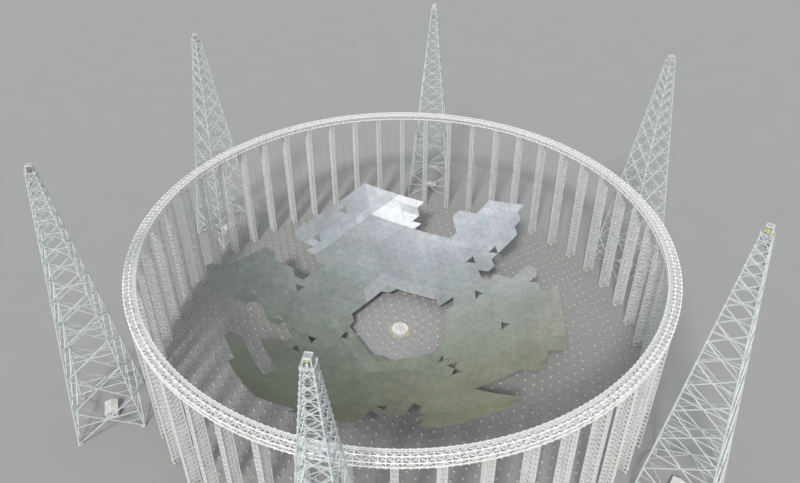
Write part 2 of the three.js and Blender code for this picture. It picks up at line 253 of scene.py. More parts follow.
@dataclass(frozen=True)
class Finish:
    """A surface finish that becomes one shared material."""

    name: str

    def paint(self, tree: Tree) -> None:
        """Builds the finish's nodes."""
        raise NotImplementedError

    def material(self) -> bpy.types.Material:
        """The material, made on first use.

        Returns:
            The finish's only material.
        """
        found = bpy.data.materials.get(self.name)
        if found is None:
            tree = Tree(self.name)
            self.paint(tree)
            found = tree.material
        return found


@dataclass(frozen=True)
class Paint(Finish):
    """Paint on steel: weathered, streaked and a little rusty, with a tone for each bar."""

    clean: Colour = (0.8, 0.8, 0.8)
    grime: Colour = (0.5, 0.5, 0.5)
    rust: Colour = (0.25, 0.11, 0.05)
    rust_from: float = 0.68
    metal: float = 0.0

    def paint(self, tree: Tree) -> None:
        """Grime in patches and streaks, rust specks, and the paint's fine grain.

        Args:
            tree: the material's nodes.
        """
        patches = tree.noise(2.2, 6.0)
        streaks = tree.noise(9.0, 5.0, (1.0, 1.0, 0.12))
        dirt = tree.ramp(tree.math("MULTIPLY_ADD", patches, streaks), [(0.42, 0.0), (0.86, 1.0)])
        colour = tree.mix(dirt, self.clean, self.grime)
        shade = tree.ramp(tree.tone(), [(0.0, 0.78), (0.5, 0.95), (1.0, 1.0)])
        colour = tree.mix(1.0, colour, shade, "MULTIPLY")
        specks = tree.ramp(tree.noise(14.0, 8.0, rough=0.7),
                           [(self.rust_from, 0.0), (self.rust_from + 0.07, 0.8)])
        tree.feed(Base_Color=tree.mix(specks, colour, self.rust), Metallic=self.metal,
                  Roughness=tree.ramp(patches, [(0.3, 0.38), (0.7, 0.62)]))
        tree.bump(tree.noise(260.0, 3.0), 0.12, 0.002)
        tree.bump(specks, 0.3, 0.001)


@dataclass(frozen=True)
class Strand(Finish):
    """Galvanised steel strand, twisted along each cable."""

    light: Colour = (0.42, 0.44, 0.46)
    dark: Colour = (0.2, 0.21, 0.22)

    def paint(self, tree: Tree) -> None:
        """A helical lay from the UV map, dull zinc bloom and a tone for each cable.

        Args:
            tree: the material's nodes.
        """
        twist = tree.node("ShaderNodeTexWave",
                          {"Vector": tree.place.outputs["UV"], "Scale": 3.0, "Distortion": 0.4},
                          bands_direction="DIAGONAL")
        bloom = tree.ramp(tree.noise(5.0, 6.0), [(0.35, self.light), (0.7, self.dark)])
        shade = tree.ramp(tree.tone(), [(0.0, 0.7), (1.0, 1.0)])
        tree.feed(Base_Color=tree.mix(1.0, bloom, shade, "MULTIPLY"), Metallic=0.75,
                  Roughness=tree.ramp(tree.noise(18.0), [(0.3, 0.35), (0.7, 0.6)]))
        tree.bump(twist.outputs["Fac"], 0.5, 0.002)


@dataclass(frozen=True)
class PanelSheet(Finish):
    """Perforated aluminium sheet in small triangles, with a tone for each panel.

    A warm greenish painted reflection is strongest at the camera's side of the dish. The start value is
    how clear the sheets are of it in the middle, and the slope is its change in each of the model's
    metres.
    """

    dark: Colour = (0.184, 0.213, 0.202)
    middle: Colour = (0.318, 0.354, 0.346)
    bluish: Colour = (0.42, 0.445, 0.475)
    palest: Colour = (0.86, 0.88, 0.9)
    # Warm tint of the painted reflection of green surroundings, with its slope and its start
    reflection_colour: Colour = (1.0, 0.91, 0.55)
    reflection_slope: Place = (0.0, 0.0225, 0.0)
    reflection_start: float = 0.915
    cells: float = 10.0

    def paint(self, tree: Tree) -> None:
        """Seams between the small triangles, perforation, water marks, dust and a greenish painted
        reflection.

        Args:
            tree: the material's nodes.
        """
        split = tree.node("ShaderNodeSeparateXYZ", {0: tree.place.outputs["UV"]})
        across, up = split.outputs[0], split.outputs[1]
        lines = (across, up, tree.math("ADD", across, up))
        edges = [tree.math("PINGPONG", line, 0.5) for line in lines]
        nearest = tree.math("MINIMUM", tree.math("MINIMUM", edges[0], edges[1]), edges[2])
        seam = tree.ramp(nearest, [(0.0, 0.0), (0.055, 1.0)])
        holes = tree.node("ShaderNodeTexVoronoi", {"Vector": tree.place.outputs["UV"], "Scale": 9.0,
                                                   "Randomness": 0.0})
        punched = tree.ramp(holes.outputs["Distance"], [(0.28, 0.0), (0.36, 1.0)])
        # The tone's colours carry painted reflection and shade besides the panels' own differences
        colour = tree.ramp(tree.tone(), [(0.0, self.dark), (0.42, self.middle), (0.72, self.bluish),
                                         (1.0, self.palest)])
        marks = tree.ramp(tree.noise(0.55, 7.0, rough=0.6), [(0.35, 0.84), (0.62, 1.07)])
        dust = tree.ramp(tree.noise(7.0, 9.0, rough=0.7), [(0.4, 0.88), (0.66, 1.06)])
        tint = tree.ramp(tree.noise(1.3, 5.0, rough=0.6),
                         [(0.36, (1.03, 0.985, 1.0)), (0.5, (1.0, 1.0, 1.0)),
                          (0.64, (0.94, 1.01, 1.02))])
        # A warm greenish painted reflection, strongest at the camera's side of the dish
        slope = tree.node("ShaderNodeVectorMath",
                          {0: tree.place.outputs["Object"], 1: self.reflection_slope},
                          operation="DOT_PRODUCT").outputs["Value"]
        reflected_tint = tree.ramp(tree.math("ADD", slope, self.reflection_start),
                         [(0.7, self.reflection_colour), (1.0, (1.0, 1.0, 1.0))])
        for shade in (marks, dust, tint, reflected_tint):
            colour = tree.mix(1.0, colour, shade, "MULTIPLY")
        colour = tree.mix(0.22, colour, punched, "MULTIPLY")
        colour = tree.mix(0.2, colour, seam, "MULTIPLY")
        tree.feed(Base_Color=colour, Metallic=0.25,
                  Roughness=tree.ramp(tree.noise(3.0, 6.0), [(0.3, 0.42), (0.7, 0.6)]))
        tree.bump(seam, 0.4, 0.003)
        tree.bump(punched, 0.2, 0.0006)


@dataclass(frozen=True)
class Concrete(Finish):
    """Cast concrete with pour marks, pits and damp stains."""

    light: Colour = (0.72, 0.69, 0.62)
    dark: Colour = (0.42, 0.39, 0.34)

    def paint(self, tree: Tree) -> None:
        """Blotches and stains in the colour, pits and board marks in the bump.

        Args:
            tree: the material's nodes.
        """
        stains = tree.noise(6.0, 10.0, (1.0, 1.0, 0.4), 0.65)
        where = tree.place.outputs["Object"]
        pits = tree.node("ShaderNodeTexVoronoi", {"Vector": where, "Scale": 160.0})
        boards = tree.node("ShaderNodeTexWave", {"Vector": where, "Scale": 9.0, "Distortion": 1.5},
                           bands_direction="Z")
        shade = tree.ramp(tree.tone(), [(0.0, 0.8), (1.0, 1.0)])
        colour = tree.ramp(stains, [(0.32, self.dark), (0.6, self.light)])
        tree.feed(Base_Color=tree.mix(1.0, colour, shade, "MULTIPLY"),
                  Roughness=tree.ramp(stains, [(0.3, 0.75), (0.7, 0.95)]))
        tree.bump(boards.outputs["Fac"], 0.15, 0.002)
        tree.bump(tree.ramp(pits.outputs["Distance"], [(0.0, 0.0), (0.18, 1.0)]), 0.25, 0.001)


@dataclass(frozen=True)
class Glass(Finish):
    """Dark window glass with a little dust."""

    colour: Colour = (0.03, 0.045, 0.055)
    dusty: Colour = (0.3, 0.3, 0.28)

    def paint(self, tree: Tree) -> None:
        """A dark gloss whose roughness and tint vary with the dust.

        Args:
            tree: the material's nodes.
        """
        dust = tree.noise(30.0, 6.0)
        cover = tree.ramp(dust, [(0.45, 0.0), (0.8, 0.4)])
        tree.feed(Base_Color=tree.mix(cover, self.colour, self.dusty),
                  Roughness=tree.ramp(dust, [(0.3, 0.06), (0.8, 0.3)]))


@dataclass(frozen=True)
class Grating(Finish):
    """Galvanised bar grating for decks and treads."""

    bar: Colour = (0.6, 0.62, 0.63)
    gap: Colour = (0.24, 0.25, 0.26)

    def paint(self, tree: Tree) -> None:
        """Bars both ways from the UV map, dark between them.

        Args:
            tree: the material's nodes.
        """
        bars = [tree.node("ShaderNodeTexWave", {"Vector": tree.place.outputs["UV"], "Scale": scale},
                          bands_direction=way).outputs["Fac"]
                for way, scale in (("X", 2.4), ("Y", 0.8))]
        mesh = tree.ramp(tree.math("MAXIMUM", *bars), [(0.35, 0.0), (0.6, 1.0)])
        wear = tree.ramp(tree.noise(8.0, 6.0), [(0.3, 0.8), (0.7, 1.0)])
        colour = tree.mix(1.0, tree.mix(mesh, self.gap, self.bar), wear, "MULTIPLY")
        tree.feed(Base_Color=colour, Metallic=0.5,
                  Roughness=tree.ramp(wear, [(0.7, 0.6), (1.0, 0.4)]))
        tree.bump(mesh, 0.6, 0.003)


@dataclass(frozen=True)
class StudioFloor(Finish):
    """Plain pale studio floor."""

    colour: Colour = (0.3, 0.3, 0.295)

    def paint(self, tree: Tree) -> None:
        """An even matt surface with the faintest mottle."""
        mottle = tree.ramp(tree.noise(0.35, 3.0), [(0.3, 0.97), (0.7, 1.0)])
        tree.feed(Base_Color=tree.mix(1.0, self.colour, mottle, "MULTIPLY"), Roughness=0.9)


WHITE_STEEL = Paint("white_steel_paint", (0.9, 0.91, 0.92), (0.7, 0.7, 0.68), rust_from=0.71)
RING_STEEL = Paint("ring_steel_paint", (0.94, 0.94, 0.93), (0.79, 0.79, 0.77), rust_from=0.73)
TOWER_STEEL = Paint("tower_steel_paint", (0.78, 0.82, 0.82), (0.56, 0.6, 0.6), rust_from=0.72)
WHITE_PAINT = Paint("white_building_paint", (0.86, 0.87, 0.86), (0.62, 0.61, 0.57), rust_from=0.76)
YELLOW_PAINT = Paint("yellow_machine_paint", (0.76, 0.83, 0.42), (0.58, 0.62, 0.3), rust_from=0.76)
DOOR_PAINT = Paint("grey_door_paint", (0.3, 0.35, 0.38), (0.2, 0.22, 0.23), rust_from=0.72)
CABLE = Strand("galvanised_strand")
FITTING = Paint("galvanised_fitting", (0.5, 0.52, 0.53), (0.3, 0.31, 0.31), rust_from=0.66, metal=0.6)
PANEL = PanelSheet("perforated_aluminium")
PANEL_FRAME = Paint("aluminium_back_frame", (0.52, 0.54, 0.55), (0.36, 0.37, 0.37), rust_from=0.95,
                    metal=0.6)
CONCRETE = Concrete("cast_concrete")
DUSTY_CONCRETE = Concrete("dusty_concrete", (0.52, 0.47, 0.39), (0.34, 0.3, 0.24))
GLASS = Glass("window_glass")
GRATING = Grating("bar_grating")
WALKWAY = Grating("walkway_grating", (0.9, 0.9, 0.88), (0.5, 0.5, 0.49))
FLOOR = StudioFloor("studio_floor")


# Geometry

# Random tones of single members
MIDDLE_TONE = 0.55
TONE_SPREAD = 0.16
# Flat sides of thin rods and of round tubes
FINE = 3
ROUND = 6
# An axis that rises more than this share of its length counts as upright
NEAR_UPRIGHT = 0.9
# A square's corners going round, a square of the UV map, and a unit box with its six faces
CORNERS = ((1, 1), (-1, 1), (-1, -1), (1, -1))
SQUARE = np.array([[0, 0], [1, 0], [1, 1], [0, 1]])
BOX_CORNERS = np.array([[x, y, z] for z in (-0.5, 0.5) for y in (-0.5, 0.5) for x in (-0.5, 0.5)])
BOX_FACES = np.array([[0, 2, 3, 1], [4, 5, 7, 6], [0, 1, 5, 4], [2, 6, 7, 3], [0, 4, 6, 2], [1, 3, 7, 5]])


def polar(radius: Array | float, azimuth: Array | float, height: Array | float) -> Array:
    """Points at a radius, an azimuth in degrees and a height, broadcast together."""
    radius, turn, height = np.broadcast_arrays(radius, np.radians(azimuth), height)
    return np.stack([radius * np.cos(turn), radius * np.sin(turn), height], axis=-1).astype(float)


def azimuths_of(points: Array) -> Array:
    """Each point's azimuth in degrees."""
    return np.degrees(np.arctan2(points[:, 1], points[:, 0]))


def rectangle(half_x: float, half_y: float, height: float) -> Array:
    """A level rectangle's four corners, going round."""
    return np.array([[x * half_x, y * half_y, height] for x, y in CORNERS])


def inside(points: Array, outline: Array) -> Array:
    """Which plan points lie inside a closed plan outline.

    Args:
        points: plan points, n by 2.
        outline: the outline's corners in order, m by 2.

    Returns:
        A boolean for each point.
    """
    x, y = points[:, 0, None], points[:, 1, None]
    x0, y0 = outline[:, 0], outline[:, 1]
    x1, y1 = np.roll(x0, -1), np.roll(y0, -1)
    crosses = (y0 > y) != (y1 > y)
    rise = np.where(y1 == y0, 1.0, y1 - y0)
    return (crosses & (x < (x1 - x0) * (y - y0) / rise + x0)).sum(axis=1) % 2 == 1


def band(sides: int) -> Array:
    """Corners of the four-sided faces between one ring of points and the next.

    Args:
        sides: points in each ring.

    Returns:
        Four point numbers for each face, the next ring's counted on.
    """
    here = np.arange(sides)
    after = (here + 1) % sides
    return np.stack([here, after, after + sides, here + sides], axis=1)


def lids(sides: int) -> Array:
    """Corners of the two faces that close a ring of points and the next one."""
    here = np.arange(sides)
    return np.stack([here[::-1], here + sides])


def sleeve(sides: int, girth: float, lengths: Array | float) -> Array:
    """UV places in metres for bands of these lengths, each face as wide as the girth.

    Args:
        sides: faces round a band.
        girth: width of one face.
        lengths: the length of each band, or of the only one.

    Returns:
        A UV place for each corner of each face.
    """
    here = np.arange(sides)
    around = np.stack([here, here + 1, here + 1, here], axis=1) * girth
    along = np.atleast_1d(lengths)[:, None, None] * [0, 0, 1, 1]
    return np.stack(np.broadcast_arrays(around, along), axis=-1).reshape(-1, 4, 2)


@dataclass(frozen=True)
class Block:
    """Faces with one number of corners: their corners, UV places, finishes and tones."""

    corners: Array
    uv: Array
    finishes: Array
    tones: Array


@dataclass
class Shape:
    """The faces of one piece, gathered in real metres before its mesh is made.

    Faces have the main finish unless a call names another one.
    """

    name: str
    main: Finish
    seed: int = 1
    finishes: list[Finish] = field(default_factory=list)
    points: list[Array] = field(default_factory=list)
    blocks: list[Block] = field(default_factory=list)
    rods: dict[tuple[float, int, Finish | None], list[tuple[Point, Point]]] = field(default_factory=dict)
    count: int = 0

    def __post_init__(self) -> None:
        """Seeds the tones and puts the main finish first."""
        self.random = np.random.default_rng(self.seed)
        self.finishes.append(self.main)

    def finish_number(self, finish: Finish | None) -> int:
        """A finish's number in the shape, where it is noted when it is new.

        Args:
            finish: a finish, or None for the main one.

        Returns:
            Its place in the list.
        """
        finish = finish or self.main
        if finish not in self.finishes:
            self.finishes.append(finish)
        return self.finishes.index(finish)

    def tones(self, count: int) -> Array:
        """One random tone for each of some members."""
        return np.clip(self.random.normal(MIDDLE_TONE, TONE_SPREAD, count), 0.0, 1.0)

    def place(self, points: Array) -> int:
        """Adds points and gives the number of the first one.

        Args:
            points: the places, n by 3.

        Returns:
            The first one's number.
        """
        start = self.count
        self.points.append(np.asarray(points, float).reshape(-1, 3))
        self.count += len(self.points[-1])
        return start

    def cover(self, corners: Array, uv: Array, finish: Finish | None = None,
              tone: Array | float = MIDDLE_TONE) -> None:
        """Adds faces that have the same number of corners.

        Args:
            corners: the numbers of each face's points, m by k.
            uv: a place on the UV map for each corner of each face, m by k by 2.
            finish: the faces' finish, or None for the main one.
            tone: one tone for all, or one for each face.
        """
        count = len(corners)
        finishes = np.full(count, self.finish_number(finish))
        tones = np.broadcast_to(tone, count).astype(float)
        self.blocks.append(Block(corners, np.asarray(uv, float), finishes, tones))

    def bars(self, starts: Array, ends: Array, radius: float | tuple[float, float], sides: int = 4,
             finish: Finish | None = None) -> None:
        """Adds straight closed bars, each with a tone of its own.

        Args:
            starts: where each bar starts, n by 3.
            ends: where each bar ends, n by 3.
            radius: from the axis to an edge, or one at the start and one at the end.
            sides: flat sides of each bar.
            finish: the bars' finish, or None for the main one.
        """
        starts, ends = np.broadcast_arrays(np.atleast_2d(starts), np.atleast_2d(ends))
        first, last = radius if isinstance(radius, tuple) else (radius, radius)
        count = len(starts)
        axis = ends - starts
        length = np.linalg.norm(axis, axis=1)
        axis = axis / length[:, None]
        helper = np.where(np.abs(axis[:, 2:]) < NEAR_UPRIGHT, [[0.0, 0.0, 1.0]], [[1.0, 0.0, 0.0]])
        side = np.cross(helper, axis)
        side /= np.linalg.norm(side, axis=1)[:, None]
        above = np.cross(axis, side)
        turn = (np.arange(sides) + 0.5) * 2 * np.pi / sides
        ring = np.cos(turn)[:, None] * side[:, None] + np.sin(turn)[:, None] * above[:, None]
        points = np.concatenate([starts[:, None] + ring * first, ends[:, None] + ring * last], axis=1)
        base = self.place(points) + np.arange(count)[:, None, None] * 2 * sides
        tone = self.tones(count)
        girth = 2 * np.pi * max(first, last) / sides
        self.cover((band(sides) + base).reshape(-1, 4), sleeve(sides, girth, length), finish,
                   np.repeat(tone, sides))
        self.cover((lids(sides) + base).reshape(-1, sides), np.zeros((2 * count, sides, 2)), finish,
                   np.repeat(tone, 2))

    def path(self, line: Array, radius: float, sides: int = 4, finish: Finish | None = None) -> None:
        """Adds a bar from each point of a line to the next."""
        self.bars(line[:-1], line[1:], radius, sides, finish)

    def rod(self, start: Point, end: Point, radius: float, sides: int = 4,
            finish: Finish | None = None) -> None:
        """Notes one bar, to be made with all others of its thickness."""
        self.rods.setdefault((radius, sides, finish), []).append((tuple(start), tuple(end)))

    def hoop(self, ring: Array, radius: float) -> None:
        """Notes a bar from each point of a closed ring to the next."""
        for start, end in zip(ring, np.roll(ring, -1, axis=0)):
            self.rod(start, end, radius)

    def crosses(self, under: Array, over: Array, radius: float) -> None:
        """Notes two crossed diagonals on each side between a lower and an upper ring.

        Args:
            under: the lower ring's corners.
            over: the upper ring's corners.
            radius: the bars' radius.
        """
        for side in range(len(under)):
            after = (side + 1) % len(under)
            self.rod(under[side], over[after], radius)
            self.rod(under[after], over[side], radius)

    def flush(self) -> None:
        """Makes the noted bars."""
        for (radius, sides, finish), pairs in self.rods.items():
            ends = np.array(pairs, float)
            self.bars(ends[:, 0], ends[:, 1], radius, sides, finish)
        self.rods = {}

    def boxes(self, centres: Array, size: Point, turns: Array | float = 0.0,
              finish: Finish | None = None) -> None:
        """Adds boxes of one size, each turned about its own upright axis by degrees.

        Args:
            centres: the boxes' middles, n by 3.
            size: along X, Y and Z before the turn.
            turns: one turn for all, or one for each.
            finish: their finish, or None for the main one.
        """
        centres = np.atleast_2d(centres)
        count = len(centres)
        wide, deep, high = size
        corners = BOX_CORNERS * size
        turn = np.radians(np.broadcast_to(turns, count))[:, None]
        points = np.stack([corners[:, 0] * np.cos(turn) - corners[:, 1] * np.sin(turn),
                           corners[:, 0] * np.sin(turn) + corners[:, 1] * np.cos(turn),
                           np.broadcast_to(corners[:, 2], (count, 8))], axis=-1) + centres[:, None]
        spans = np.array([(deep, wide), (wide, deep), (wide, high), (high, wide), (high, deep),
                          (deep, high)])
        uv = np.broadcast_to(spans[:, None] * SQUARE, (count, 6, 4, 2)).reshape(-1, 4, 2)
        tone = self.tones(count)
        base = self.place(points) + np.arange(count)[:, None, None] * 8
        self.cover((BOX_FACES + base).reshape(-1, 4), uv, finish, np.repeat(tone, 6))

    def prism(self, outline: Sequence[Point], low: float, high: float, along_y: bool = False,
              finish: Finish | None = None) -> None:
        """Adds a prism over a convex outline that runs anticlockwise.

        Args:
            outline: plan points, or (x, z) points of a cross section if along_y is set.
            low: where the prism starts on its axis.
            high: where it ends.
            along_y: the prism runs along -Y instead of +Z.
            finish: the prism's finish, or None for the main one.
        """
        flat = np.array(outline, float)
        count = len(flat)
        points = np.concatenate([np.column_stack([flat, np.full(count, level)]) for level in (low, high)])
        if along_y:
            points = np.column_stack([points[:, 0], -points[:, 2], points[:, 1]])
        start = self.place(points)
        reach = np.linalg.norm(np.roll(flat, -1, axis=0) - flat, axis=1)
        spans = np.stack([reach, np.full(count, high - low)], axis=1)
        self.cover(band(count) + start, spans[:, None] * SQUARE, finish)
        self.cover(lids(count) + start, np.stack([flat[::-1], flat]), finish)

    def turned(self, profile: Sequence[Point], sides: int, finish: Finish | None = None) -> None:
        """Adds a turned solid whose (radius, height) profile starts and ends on the upright axis.

        Args:
            profile: the points, from the bottom up.
            sides: flat sides round the axis.
            finish: its finish, or None for the main one.
        """
        middle = profile[1:-1]
        turns = np.arange(sides) * 360 / sides
        rings = [polar(radius, turns, height) for radius, height in middle]
        points = np.concatenate([*rings, [(0, 0, profile[0][1]), (0, 0, profile[-1][1])]])
        start = self.place(points)
        for step, ((r0, z0), (r1, z1)) in enumerate(zip(middle, middle[1:])):
            uv = sleeve(sides, 2 * np.pi * max(r0, r1) / sides, math.hypot(r1 - r0, z1 - z0))
            self.cover(band(sides) + start + step * sides, uv, finish)
        here, after = band(sides)[:, :2].T
        last = (len(middle) - 1) * sides
        poles = [np.full(sides, last + sides + pole) for pole in (0, 1)]
        fans = np.concatenate([np.stack([poles[0], after, here], axis=1),
                               np.stack([poles[1], here + last, after + last], axis=1)])
        self.cover(fans + start, points[fans][..., :2], finish)

    def take(self, other: "Shape", azimuth: float, move: Point, shade: float = 0.0) -> None:
        """Adds a copy of another shape.

        Args:
            other: the shape, whose own -X looks to the dish.
            azimuth: how far it is turned about the dish's axis after the move, in degrees.
            move: how far it is moved first.
            shade: what is added to its tones.
        """
        other.flush()
        turn = math.radians(azimuth)
        ahead, across = math.cos(turn), math.sin(turn)
        matrix = np.array([[ahead, -across, 0], [across, ahead, 0], [0, 0, 1]])
        start = self.place((np.concatenate(other.points) + move) @ matrix.T)
        numbers = np.array([self.finish_number(finish) for finish in other.finishes])
        for block in other.blocks:
            self.blocks.append(Block(block.corners + start, block.uv, numbers[block.finishes],
                                     np.clip(block.tones + shade, 0, 1)))

    def build(self) -> bpy.types.Object:
        """Makes the object with its mesh, UV map, tones and materials.

        Returns:
            The new object.
        """
        self.flush()
        mesh = bpy.data.meshes.new(self.name)
        points = np.concatenate(self.points) * METRE
        loops = np.concatenate([block.corners.ravel() for block in self.blocks])
        totals = np.concatenate([np.full(len(block.corners), block.corners.shape[1])
                                 for block in self.blocks])
        starts = np.concatenate([[0], np.cumsum(totals)[:-1]])
        finishes = np.concatenate([block.finishes for block in self.blocks])
        mesh.vertices.add(len(points))
        mesh.vertices.foreach_set("co", points.ravel())
        mesh.loops.add(len(loops))
        mesh.loops.foreach_set("vertex_index", loops.astype(np.int32))
        mesh.polygons.add(len(totals))
        mesh.polygons.foreach_set("loop_start", starts.astype(np.int32))
        mesh.polygons.foreach_set("material_index", finishes.astype(np.int32))
        mesh.update(calc_edges=True)
        layer = mesh.uv_layers.new(name="UVMap")
        layer.data.foreach_set("uv", np.concatenate([block.uv.ravel() for block in self.blocks]))
        tone = mesh.attributes.new("tone", "FLOAT", "FACE")
        tone.data.foreach_set("value", np.concatenate([block.tones for block in self.blocks]))
        for finish in self.finishes:
            mesh.materials.append(finish.material())
        mesh.shade_flat()
        made = bpy.data.objects.new(self.name, mesh)
        bpy.context.scene.collection.objects.link(made)
        return made


def dress(shape: Shape, slot: Slot, *nodes: str) -> bpy.types.Object:
    """Makes a shape's object and ties it to the frame.

    Args:
        shape: the gathered faces.
        slot: the record's material slot, which is not used.
        nodes: the CAD nodes that it stands for.

    Returns:
        The new object.
    """
    piece = shape.build()
    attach(piece, BODY)
    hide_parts(*nodes)
    return piece


# Ring truss


@dataclass
class RingSector:
    """A fifth of the box truss round the rim: two cells wide, one cell high."""

    index: int
    seed: int = 100
    modules: int = 60
    module_angle: float = 1.2
    before_ridge: int = 27
    chord: float = 0.5
    post: float = 0.36
    brace: float = 0.3
    inset: float = 0.5
    gusset: Size = (1.5, 1.3, 1.2)
    deck: Size = (1.7, 5.2, 0.12)
    deck_inset: float = 1.9
    deck_rise: float = 0.1
    rail: float = 0.06
    rail_rises: tuple[float, float] = (0.6, 1.15)
    rail_post: float = 0.07
    rail_post_high: float = 1.2
    ear: Size = (0.9, 0.45, 1.1)
    ear_drop: float = 0.85

    @property
    def radii(self) -> tuple[float, float, float]:
        """Radii of the inner, middle and outer chords."""
        return RING_INNER + self.inset, RING_MIDDLE, RING_OUTER - self.inset

    @property
    def heights(self) -> tuple[float, float]:
        """Heights of the lower and upper chords."""
        return RING_TOP - RING_HEIGHT + self.inset, RING_TOP - self.inset

    def knots(self, radius: float, height: float) -> Array:
        """One knot on each module line of the sector, both ends included."""
        lines = np.arange(self.modules + 1) + self.index * self.modules - self.before_ridge
        return polar(radius, GRID_AZIMUTH + lines * self.module_angle, height)

    def chords(self, shape: Shape) -> None:
        """Adds the six chords and a gusset at each knot.

        Args:
            shape: what gets them.
        """
        for radius in self.radii:
            for height in self.heights:
                line = self.knots(radius, height)
                shape.path(line, self.chord, ROUND)
                shape.boxes(line[:-1], self.gusset, azimuths_of(line[:-1]))

    def cross_frames(self, shape: Shape) -> None:
        """Adds posts, ties and a diagonal in both cells on each module line.

        Args:
            shape: what gets them.
        """
        low, high = self.heights
        for radius in self.radii:
            shape.bars(self.knots(radius, low)[:-1], self.knots(radius, high)[:-1], self.post)
        for first, second in zip(self.radii, self.radii[1:]):
            for height in (low, high):
                shape.bars(self.knots(first, height)[:-1], self.knots(second, height)[:-1], self.post)
            shape.bars(self.knots(first, low)[:-1], self.knots(second, high)[:-1], self.brace)

    def zigzag(self, shape: Shape, first: Array, second: Array) -> None:
        """Adds one diagonal in each module, to and fro between two chords.

        Args:
            shape: what gets them.
            first: the knots of one chord.
            second: the knots of the other.
        """
        even = np.arange(self.modules) % 2 == 0
        starts = np.where(even[:, None], first[:-1], second[:-1])
        ends = np.where(even[:, None], second[1:], first[1:])
        shape.bars(starts, ends, self.brace)

    def faces(self, shape: Shape) -> None:
        """Adds the diagonals of the upright and level faces.

        Args:
            shape: what gets them.
        """
        low, high = self.heights
        for radius in self.radii:
            self.zigzag(shape, self.knots(radius, low), self.knots(radius, high))
        for first, second in zip(self.radii, self.radii[1:]):
            for height in self.heights:
                self.zigzag(shape, self.knots(first, height), self.knots(second, height))

    def walkway(self, shape: Shape) -> None:
        """Adds the inspection walkway with its rails by the upper inner chord.

        Args:
            shape: what gets them.
        """
        height, centre = RING_TOP + self.deck_rise, RING_INNER + self.deck_inset
        line = self.knots(centre, height)
        middles = (line[:-1] + line[1:]) / 2
        shape.boxes(middles, self.deck, azimuths_of(middles), WALKWAY)
        for side in (-1, 1):
            feet = self.knots(centre + side * self.deck[0] / 2, height)
            for rise in self.rail_rises:
                shape.path(feet + [0, 0, rise], self.rail, FINE)
            shape.bars(feet[:-1], feet[:-1] + [0, 0, self.rail_post_high], self.rail_post, FINE)

    def ears(self, shape: Shape) -> None:
        """Adds the plates under the inner chord that hold the net's edge cables."""
        line = self.knots(self.radii[0], self.heights[0] - self.ear_drop)[:-1]
        shape.boxes(line, self.ear, azimuths_of(line))

    def build(self) -> Pieces:
        """Makes the sector's piece.

        Returns:
            The piece in a list.
        """
        shape = Shape(f"ring_lattice_{self.index + 1}", RING_STEEL, self.seed + self.index)
        for step in (self.chords, self.cross_frames, self.faces, self.walkway, self.ears):
            step(shape)
        return [dress(shape, Slot.WHITE_STEEL, f"ring_truss_{self.index + 1}")]


# Columns


@dataclass
class ColumnRow:
    """Five lattice columns with their footings, caps and bearings."""

    index: int
    seed: int = 200
    column_seed: int = 7
    half_deep: float = 4.78
    half_wide: float = 2.33
    levels: int = 26
    low: float = 1.1
    high: float = 135.5
    leg: float = 0.52
    leg_ends: tuple[float, float] = (-0.2, 0.4)
    strut: float = 0.32
    brace: float = 0.27
    beam_wide: float = 0.8
    beam_high: float = 0.7
    beam_over: float = 0.37
    beam_rise: float = 0.45
    bearing: Size = (1.0, 1.0, 0.45)
    bearing_rise: float = 0.55
    plinth: Size = (2.0, 2.0, 0.9)
    plate: Size = (1.4, 1.4, 0.16)
    shade: float = 0.08

    def corners(self, height: float) -> Array:
        """The four legs' centres at a height, going round."""
        return rectangle(self.half_deep, self.half_wide, height)

    def column(self) -> Shape:
        """One column about its own axis, its deep side along X.

        Returns:
            The column's shape.
        """
        shape = Shape("column", WHITE_STEEL, self.column_seed)
        heights = np.linspace(self.low, self.high, self.levels + 1)
        under, over = self.leg_ends
        for start, end in zip(self.corners(self.low + under), self.corners(self.high + over)):
            shape.rod(start, end, self.leg, ROUND)
        for height in heights:
            shape.hoop(self.corners(height), self.strut)
        for low, high in zip(heights, heights[1:]):
            shape.crosses(self.corners(low), self.corners(high), self.brace)
        return shape

    def cap(self, shape: Shape) -> None:
        """Adds the cap beams under the ring and its four bearings.

        Args:
            shape: what gets them.
        """
        height = self.high + self.beam_rise
        along = (2 * (self.half_deep + self.beam_over), self.beam_wide, self.beam_high)
        across = (self.beam_wide, 2 * (self.half_wide + self.beam_over), self.beam_high)
        for side in (-1, 1):
            shape.boxes([0, side * self.half_wide, height], along)
            shape.boxes([side * self.half_deep, 0, height], across)
        shape.boxes(self.corners(height + self.bearing_rise), self.bearing)

    def footing(self, shape: Shape) -> None:
        """Adds the concrete plinth under each leg and its base plate."""
        shape.boxes(self.corners(self.plinth[2] / 2), self.plinth, finish=CONCRETE)
        shape.boxes(self.corners(self.plinth[2] + self.plate[2] / 2), self.plate)

    def build(self) -> Pieces:
        """Makes the row's piece.

        Returns:
            The piece in a list.
        """
        column = self.column()
        self.cap(column)
        self.footing(column)
        shape = Shape(f"column_lattice_{self.index + 1}", WHITE_STEEL, self.seed + self.index)
        count = COLUMNS // COLUMN_ROWS
        for place in range(count):
            azimuth = GRID_AZIMUTH + (self.index * count + place) * BAY
            shape.take(column, azimuth, (RING_MIDDLE, 0, 0), shape.random.uniform(-self.shade, self.shade))
        return [dress(shape, Slot.WHITE_STEEL, f"column_row_{self.index + 1}")]


# Net and panels


